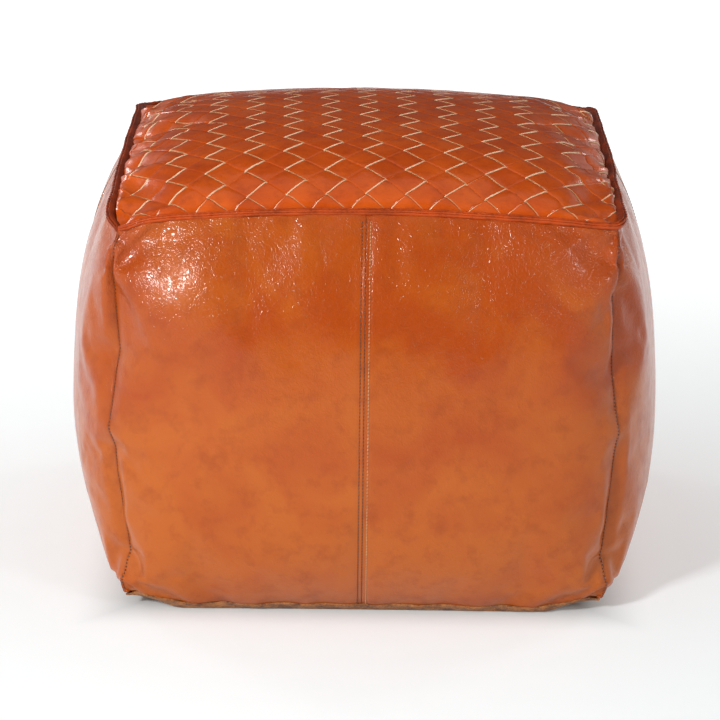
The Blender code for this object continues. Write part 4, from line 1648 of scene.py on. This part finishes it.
@dataclass
class Zip:
    """Coil zip in the bottom: two woven tapes, two rows of teeth, stops, slider and pull tab."""

    tape_half_length: float = 0.195
    tape_inner: float = 0.0032
    tape_low: float = 0.0066
    tape_thickness: float = 0.0008
    coil_start: float = -0.172
    coil_end: float = 0.174
    pitch: float = 0.0016
    coil_height: float = 0.0070
    coil_from_middle: float = 0.0018
    tooth: tuple[float, float, float] = (0.00052, 0.0016, 0.00085)
    corded_edge: tuple[float, ...] = (0.0, 0.0004, 0.0008, 0.0014)
    flat_lines: tuple[float, ...] = (0.0070, 0.0100, 0.0130, 0.0150)

    def _tape(self, node: str, front: bool, finishes: Finishes) -> None:
        """Model one woven tape with its thicker corded edge."""
        sign = -1.0 if front else 1.0
        x = np.linspace(-self.tape_half_length, self.tape_half_length, 200)
        corded = [self.tape_inner + offset for offset in self.corded_edge]
        y = np.array([*corded, *self.flat_lines]) * sign
        if front:
            y = y[::-1]
        along, across = np.meshgrid(x, y)
        bead = 0.0003 * np.exp(-((np.abs(across) - self.tape_inner - 0.0006) / 0.0005) ** 2)
        wave = 0.00012 * rumple(np.stack([along, across, along * 0], -1), 0.03, 2.0)
        height = self.tape_low - bead + wave
        piece = laid_grid(node + "_twill", np.stack([along, across, height], -1)[::-1])
        edit_all(piece, lambda: bpy.ops.mesh.normals_make_consistent(inside=False))
        if piece.data.polygons[0].normal.z > 0:
            edit_all(piece, lambda: bpy.ops.mesh.flip_normals())
        apply_modifier(piece, "SOLIDIFY", thickness=self.tape_thickness, offset=-1.0)
        shade(piece, 40.0)
        dress(piece, [finishes.tape], nodes=[node])

    def _coil(self, node: str, front: bool, finishes: Finishes) -> None:
        """Model one coil tooth and copy it along the row."""
        sign = -1.0 if front else 1.0
        start_clean()
        bpy.ops.mesh.primitive_uv_sphere_add(segments=6, ring_count=5, radius=1.0)
        tooth = bpy.context.object
        edit_all(
            tooth,
            lambda: bpy.ops.transform.rotate(
                value=math.radians(90), orient_axis="X", center_override=(0, 0, 0)),
            lambda: bpy.ops.transform.resize(value=self.tooth, center_override=(0, 0, 0)))
        x = np.arange(self.coil_start, self.coil_end, self.pitch)
        if front:
            x = x + self.pitch / 2.0
        places = np.stack([x, np.full(len(x), sign * self.coil_from_middle),
                           np.full(len(x), self.coil_height)], -1)
        turns = np.broadcast_to(np.eye(3), (len(x), 3, 3))
        piece = repeated(node + "_teeth", tooth, places, turns)
        dress(piece, [finishes.nylon], nodes=[node])

    def build(self, finishes: Finishes) -> None:
        """Model the tapes and teeth, and give the metal parts their finish."""
        for model, part in ((self._tape, "tape"), (self._coil, "coil")):
            model(f"zip_front_{part}", True, finishes)
            model(f"zip_back_{part}", False, finishes)
        for node in ("zip_front_top_stop", "zip_back_top_stop", "zip_bottom_stop",
                     "zip_slider", "zip_pull_tab"):
            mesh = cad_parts[node].data
            mesh.materials.clear()
            mesh.materials.append(finishes.brass)


# --- inside -------------------------------------------------------------------


@dataclass
class Inside:
    """Cotton bag and its filling, inside the cover."""

    form: StuffedForm
    bag_inset: float = 0.0062
    bag_top: float = 0.0200
    bag_floor: float = 0.0105
    fill_inset: float = 0.0090
    fill_top: float = 0.0225
    fill_floor: float = 0.0130
    mouth_half_length: float = 0.080
    mouth_half_gap: float = 0.0012

    def _shell(self, name: str, inset: float, top: float, floor: float) -> bpy.types.Object:
        """Closed shell inside the form.

        Args:
            name: Name of the piece.
            inset: Distance inside the sides.
            top: Distance below the top.
            floor: Height above the ground.

        Returns:
            The new piece.
        """
        start_clean()
        bpy.ops.mesh.primitive_cube_add(size=2.0)
        shell = bpy.context.object
        shell.name = shell.data.name = name
        edit_all(shell, lambda: bpy.ops.mesh.subdivide(number_cuts=self.form.cuts - 1))
        points = self.form.points.copy()
        flat = np.maximum(np.abs(points[:, :2]).max(1), 1e-6)
        points[:, :2] *= (1.0 - 1.5 * inset / flat.clip(0.12))[:, None]
        height = self.form.edge_height + self.form.crown
        points[:, 2] = floor + points[:, 2] * (height - top - floor) / height
        write_points(shell, points)
        return shell

    def build(self, finishes: Finishes) -> None:
        """Model the bag and the filling."""
        bag = self._shell("cotton_bag", self.bag_inset, self.bag_top, self.bag_floor)
        self._open_mouth(bag)
        apply_modifier(bag, "SOLIDIFY", thickness=0.0007, offset=-1.0)
        shade(bag, 60.0)
        dress(bag, [finishes.cotton], nodes=["inner_bag"])
        fill = self._shell("loose_filling", self.fill_inset, self.fill_top, self.fill_floor)
        points = read_points(fill)
        outward = np.empty(len(points) * 3)
        fill.data.vertices.foreach_get("normal", outward)
        lumps = 0.5 + 0.5 * rumple(points, 0.030, 2.0)
        write_points(fill, points - outward.reshape(-1, 3) * (0.004 * lumps)[:, None])
        shade(fill, 180.0)
        dress(fill, [finishes.crumb], nodes=["filling"])

    def _open_mouth(self, bag: bpy.types.Object) -> None:
        """Open the bag's slit, over the zip."""
        points = read_points(bag)
        low = points[:, 2] < self.bag_floor + 0.004
        inner = low & (np.abs(points[:, 0]) < self.mouth_half_length)
        line = inner & (np.abs(points[:, 1]) < 1e-4)
        step = np.min(np.abs(points[inner & (np.abs(points[:, 1]) > 1e-3), 1]))
        next_row = inner & (np.abs(np.abs(points[:, 1]) - step) < 1e-4)
        points[next_row, 1] = np.sign(points[next_row, 1]) * self.mouth_half_gap
        write_points(bag, points)
        pick(bag)
        bpy.ops.object.mode_set(mode="EDIT")
        bpy.ops.mesh.select_all(action="DESELECT")
        bpy.ops.mesh.select_mode(type="VERT")
        bpy.ops.object.mode_set(mode="OBJECT")
        bag.data.vertices.foreach_set("select", line)
        bpy.ops.object.mode_set(mode="EDIT")
        bpy.ops.mesh.delete(type="VERT")
        bpy.ops.object.mode_set(mode="OBJECT")


# --- the pouf -----------------------------------------------------------------


@dataclass
class Pouf:
    """The whole pouf, built on the stuffed form."""

    finishes: Finishes
    form: StuffedForm
    seam_pitch: float = 0.0033
    corner_pitch: float = 0.0036
    centre_row: float = 0.0038
    centre_line: float = 0.0004
    corner_row: float = 0.0014

    def build(self) -> None:
        """Build every piece in order."""
        panels = self._sides()
        self._stitch(panels)
        top = self.form.surfaces[Face.TOP].evened(110, 110)
        WovenTop(top).build(self.finishes)
        Piping(self.form.surfaces[Face.TOP]).build(self.finishes)
        SuedeHalf("bottom_front_panel", self.form, True).build(self.finishes)
        SuedeHalf("bottom_back_panel", self.form, False).build(self.finishes)
        Zip().build(self.finishes)
        Inside(self.form).build(self.finishes)

    def _sides(self) -> list[SidePanel]:
        """Build the eight side panels."""
        names = {
            Face.FRONT: ("front_left_panel", "front_right_panel"),
            Face.RIGHT: ("right_front_panel", "right_back_panel"),
            Face.BACK: ("back_right_panel", "back_left_panel"),
            Face.LEFT: ("left_back_panel", "left_front_panel"),
        }
        panels = []
        for face, nodes in names.items():
            for right, node in enumerate(nodes):
                panel = SidePanel(node, self.form.half(face, bool(right)), not right,
                                  seed=3.0 + 2.0 * len(panels),
                                  bulges=BULGES.get(node, ()))
                panel.build(self.finishes)
                panels.append(panel)
        return panels

    def _stitch(self, panels: list[SidePanel]) -> None:
        """Lay the stitch rows of the upright seams."""
        topstitch = Stitches("topstitches")
        bright = Stitches("right_topstitches")
        middle = Stitches("centre_seam_stitches", length=0.0026, thick=0.0011)
        corner = Stitches("corner_seam_stitches", length=0.0017, thick=0.0016, slant=25.0)
        for panel in panels:
            inner = panel.centre_on_right
            rows = topstitch if inner else bright
            rows.add(panel.row_of_stitches(self.centre_row, inner, self.seam_pitch), 0.00018)
            if inner:
                middle.add(panel.row_of_stitches(self.centre_line, True, self.seam_pitch), -0.0002)
            if panel.node.startswith(("front", "back")):
                corner.add(panel.row_of_stitches(self.corner_row, not inner, self.corner_pitch),
                           0.0003)
        # the right-hand rows take the lighter thread copy, a painted highlight
        dark, golden = self.finishes.thread, self.finishes.lit_thread
        for rows, thread in ((topstitch, dark), (bright, golden), (middle, dark), (corner, dark)):
            rows.build(thread, "tan_leather")


# --- studio -------------------------------------------------------------------


@dataclass(frozen=True)
class Lamp:
    """Square soft box: where it hangs, what it faces, its side in metres and its power."""

    name: str
    place: tuple[float, float, float]
    aim: tuple[float, float, float]
    side: float
    power: float

    def hang(self) -> None:
        """Hang the lamp."""
        light = bpy.data.lights.new(self.name, "AREA")
        light.size = self.side
        light.energy = self.power
        lamp = bpy.data.objects.new(self.name, light)
        bpy.context.scene.collection.objects.link(lamp)
        way = Vector(self.aim) - Vector(self.place)
        turn = way.to_track_quat("-Z", "Y").to_matrix().to_4x4()
        lamp.matrix_world = Matrix.Translation(self.place) @ turn


LAMPS = (
    Lamp("key", (-1.62, -2.35, 1.56), (0.0, 0.0, 0.25), 0.42, 76.0),
    Lamp("fill", (2.0, -2.2, 1.5), (0.0, 0.0, 0.25), 0.5, 16.0),
    Lamp("left rim", (-1.9, 1.7, 1.25), (-0.2, 0.0, 0.35), 0.5, 9.0),
    Lamp("right rim", (2.0, 1.5, 1.25), (0.2, 0.0, 0.35), 0.5, 8.0),
    Lamp("overhead", (0.0, -0.3, 3.2), (0.0, 0.0, 0.0), 4.0, 28.0),
)


@dataclass
class Studio:
    """Pale floor, soft light and the camera.

    The floor's glow is painted light in place of a lit paper sweep: least under the pouf, a painted
    contact shadow, less in front of it than behind, and brightest far behind it.
    """

    lens: float = 168.97
    tilt: float = 17.55
    roll: float = 0.677
    eye: tuple[float, float, float] = (-0.0041, -3.1266, 1.1615)
    room: float = 0.05
    near_glow: float = 0.38
    far_glow: float = 0.85
    glow_from: float = -0.30
    glow_to: float = 1.60
    shadow_glow: float = 0.05
    shadow_from: float = 0.19
    shadow_to: float = 0.27
    front_glow: float = 0.75
    front_from: float = -1.20
    front_to: float = -0.62
    floor_drop: float = 0.0004
    floor_radius: float = 6.0
    wall: float = 0.88

    def _world(self) -> None:
        """Set a dim room with pale walls at both sides, and a pale backdrop all round."""
        world = bpy.data.worlds.new("studio")
        bpy.context.scene.world = world
        world.use_nodes = True
        tree = world.node_tree
        way = add_node(tree, "ShaderNodeTexCoord").outputs["Generated"]
        parts = add_node(tree, "ShaderNodeSeparateXYZ", {"Vector": way})
        low = add_node(tree, "ShaderNodeMapRange", {
            "Value": parts.outputs["Z"], "From Min": 0.20, "From Max": 0.65,
            "To Min": 1.0, "To Max": 0.0}, interpolation_type="SMOOTHSTEP")
        sideways = add_node(tree, "ShaderNodeMath", {0: parts.outputs["X"]}, operation="ABSOLUTE")
        behind = add_node(tree, "ShaderNodeMapRange", {
            "Value": sideways.outputs[0], "From Min": 0.12, "From Max": 0.65,
            "To Min": 0.04, "To Max": 1.0}, interpolation_type="SMOOTHSTEP")
        wall = add_node(tree, "ShaderNodeMath", {
            0: low.outputs["Result"], 1: behind.outputs["Result"]}, operation="MULTIPLY")
        light = add_node(tree, "ShaderNodeMapRange", {
            "Value": wall.outputs[0], "To Min": self.room, "To Max": self.wall})
        ray = add_node(tree, "ShaderNodeLightPath").outputs["Is Camera Ray"]
        seen = add_node(tree, "ShaderNodeMix", {
            0: ray, 2: light.outputs["Result"], 3: 1.0}, data_type="FLOAT")
        tree.links.new(seen.outputs[0], tree.nodes["Background"].inputs["Strength"])
        tree.nodes["Background"].inputs["Color"].default_value = (1.0, 1.0, 1.0, 1.0)

    def build(self) -> None:
        """Set the floor, the world, the lamps and the camera."""
        self._floor()
        self._world()
        for lamp in LAMPS:
            lamp.hang()
        self._camera()

    def _floor(self) -> None:
        """Lay the round paper floor."""
        start_clean()
        bpy.ops.mesh.primitive_circle_add(
            vertices=96, radius=self.floor_radius, fill_type="NGON",
            location=(0.0, 0.0, -self.floor_drop))
        floor = bpy.context.object
        floor.name = "floor"
        material, tree, shader, place = new_material("white paper sweep")
        grain = add_node(tree, "ShaderNodeTexNoise", {"Scale": 300.0})
        tint = add_node(tree, "ShaderNodeMix", {
            MIX_FACTOR: grain.outputs["Fac"], MIX_A: linear("#cbd1d2"),
            MIX_B: linear("#cfd5d6")}, data_type="RGBA")
        parts = add_node(tree, "ShaderNodeSeparateXYZ", {"Vector": place})
        glow = add_node(tree, "ShaderNodeMapRange", {
            "Value": parts.outputs["Y"], "From Min": self.glow_from, "From Max": self.glow_to,
            "To Min": self.near_glow, "To Max": self.far_glow}, interpolation_type="SMOOTHSTEP")
        across = add_node(tree, "ShaderNodeMath", {0: parts.outputs["X"]}, operation="ABSOLUTE")
        along = add_node(tree, "ShaderNodeMath", {0: parts.outputs["Y"]}, operation="ABSOLUTE")
        beside = add_node(tree, "ShaderNodeMath", {
            0: across.outputs[0], 1: along.outputs[0]}, operation="MAXIMUM")
        # painted contact shadow: the floor's glow fades close under and beside the pouf
        contact = add_node(tree, "ShaderNodeMapRange", {
            "Value": beside.outputs[0], "From Min": self.shadow_from, "From Max": self.shadow_to,
            "To Min": self.shadow_glow, "To Max": 1.0}, interpolation_type="SMOOTHSTEP")
        # painted light: the glow is dimmer in front of the pouf
        ahead = add_node(tree, "ShaderNodeMapRange", {
            "Value": parts.outputs["Y"], "From Min": self.front_from, "From Max": self.front_to,
            "To Min": self.front_glow, "To Max": 1.0}, interpolation_type="SMOOTHSTEP")
        faded = add_node(tree, "ShaderNodeMath", {
            0: contact.outputs["Result"], 1: ahead.outputs["Result"]}, operation="MULTIPLY")
        shone = add_node(tree, "ShaderNodeMath", {
            0: glow.outputs["Result"], 1: faded.outputs[0]}, operation="MULTIPLY")
        feed(tree, shader, {
            "Base Color": tint.outputs[MIX_RESULT], "Roughness": 0.9, "Specular IOR Level": 0.1,
            "Emission Color": (1.0, 1.0, 1.0, 1.0), "Emission Strength": shone.outputs[0]})
        floor.data.materials.append(material)

    def _camera(self) -> None:
        """Stand the camera at the eye, tilted down and rolled a little."""
        camera = bpy.data.cameras.new("camera")
        camera.lens = self.lens
        camera.sensor_width = 36.0
        stand = bpy.data.objects.new("camera", camera)
        bpy.context.scene.collection.objects.link(stand)
        bpy.context.scene.camera = stand
        stand.matrix_world = (
            Matrix.Translation(self.eye)
            @ Matrix.Rotation(math.radians(90.0 - self.tilt), 4, "X")
            @ Matrix.Rotation(math.radians(self.roll), 4, "Z"))
        bpy.context.scene.view_settings.view_transform = "Standard"


def main() -> None:
    """Build the pouf and its studio."""
    finishes = Finishes()
    form = StuffedForm()
    Pouf(finishes, form).build()
    Studio().build()


if __name__ == "__main__":
    main()
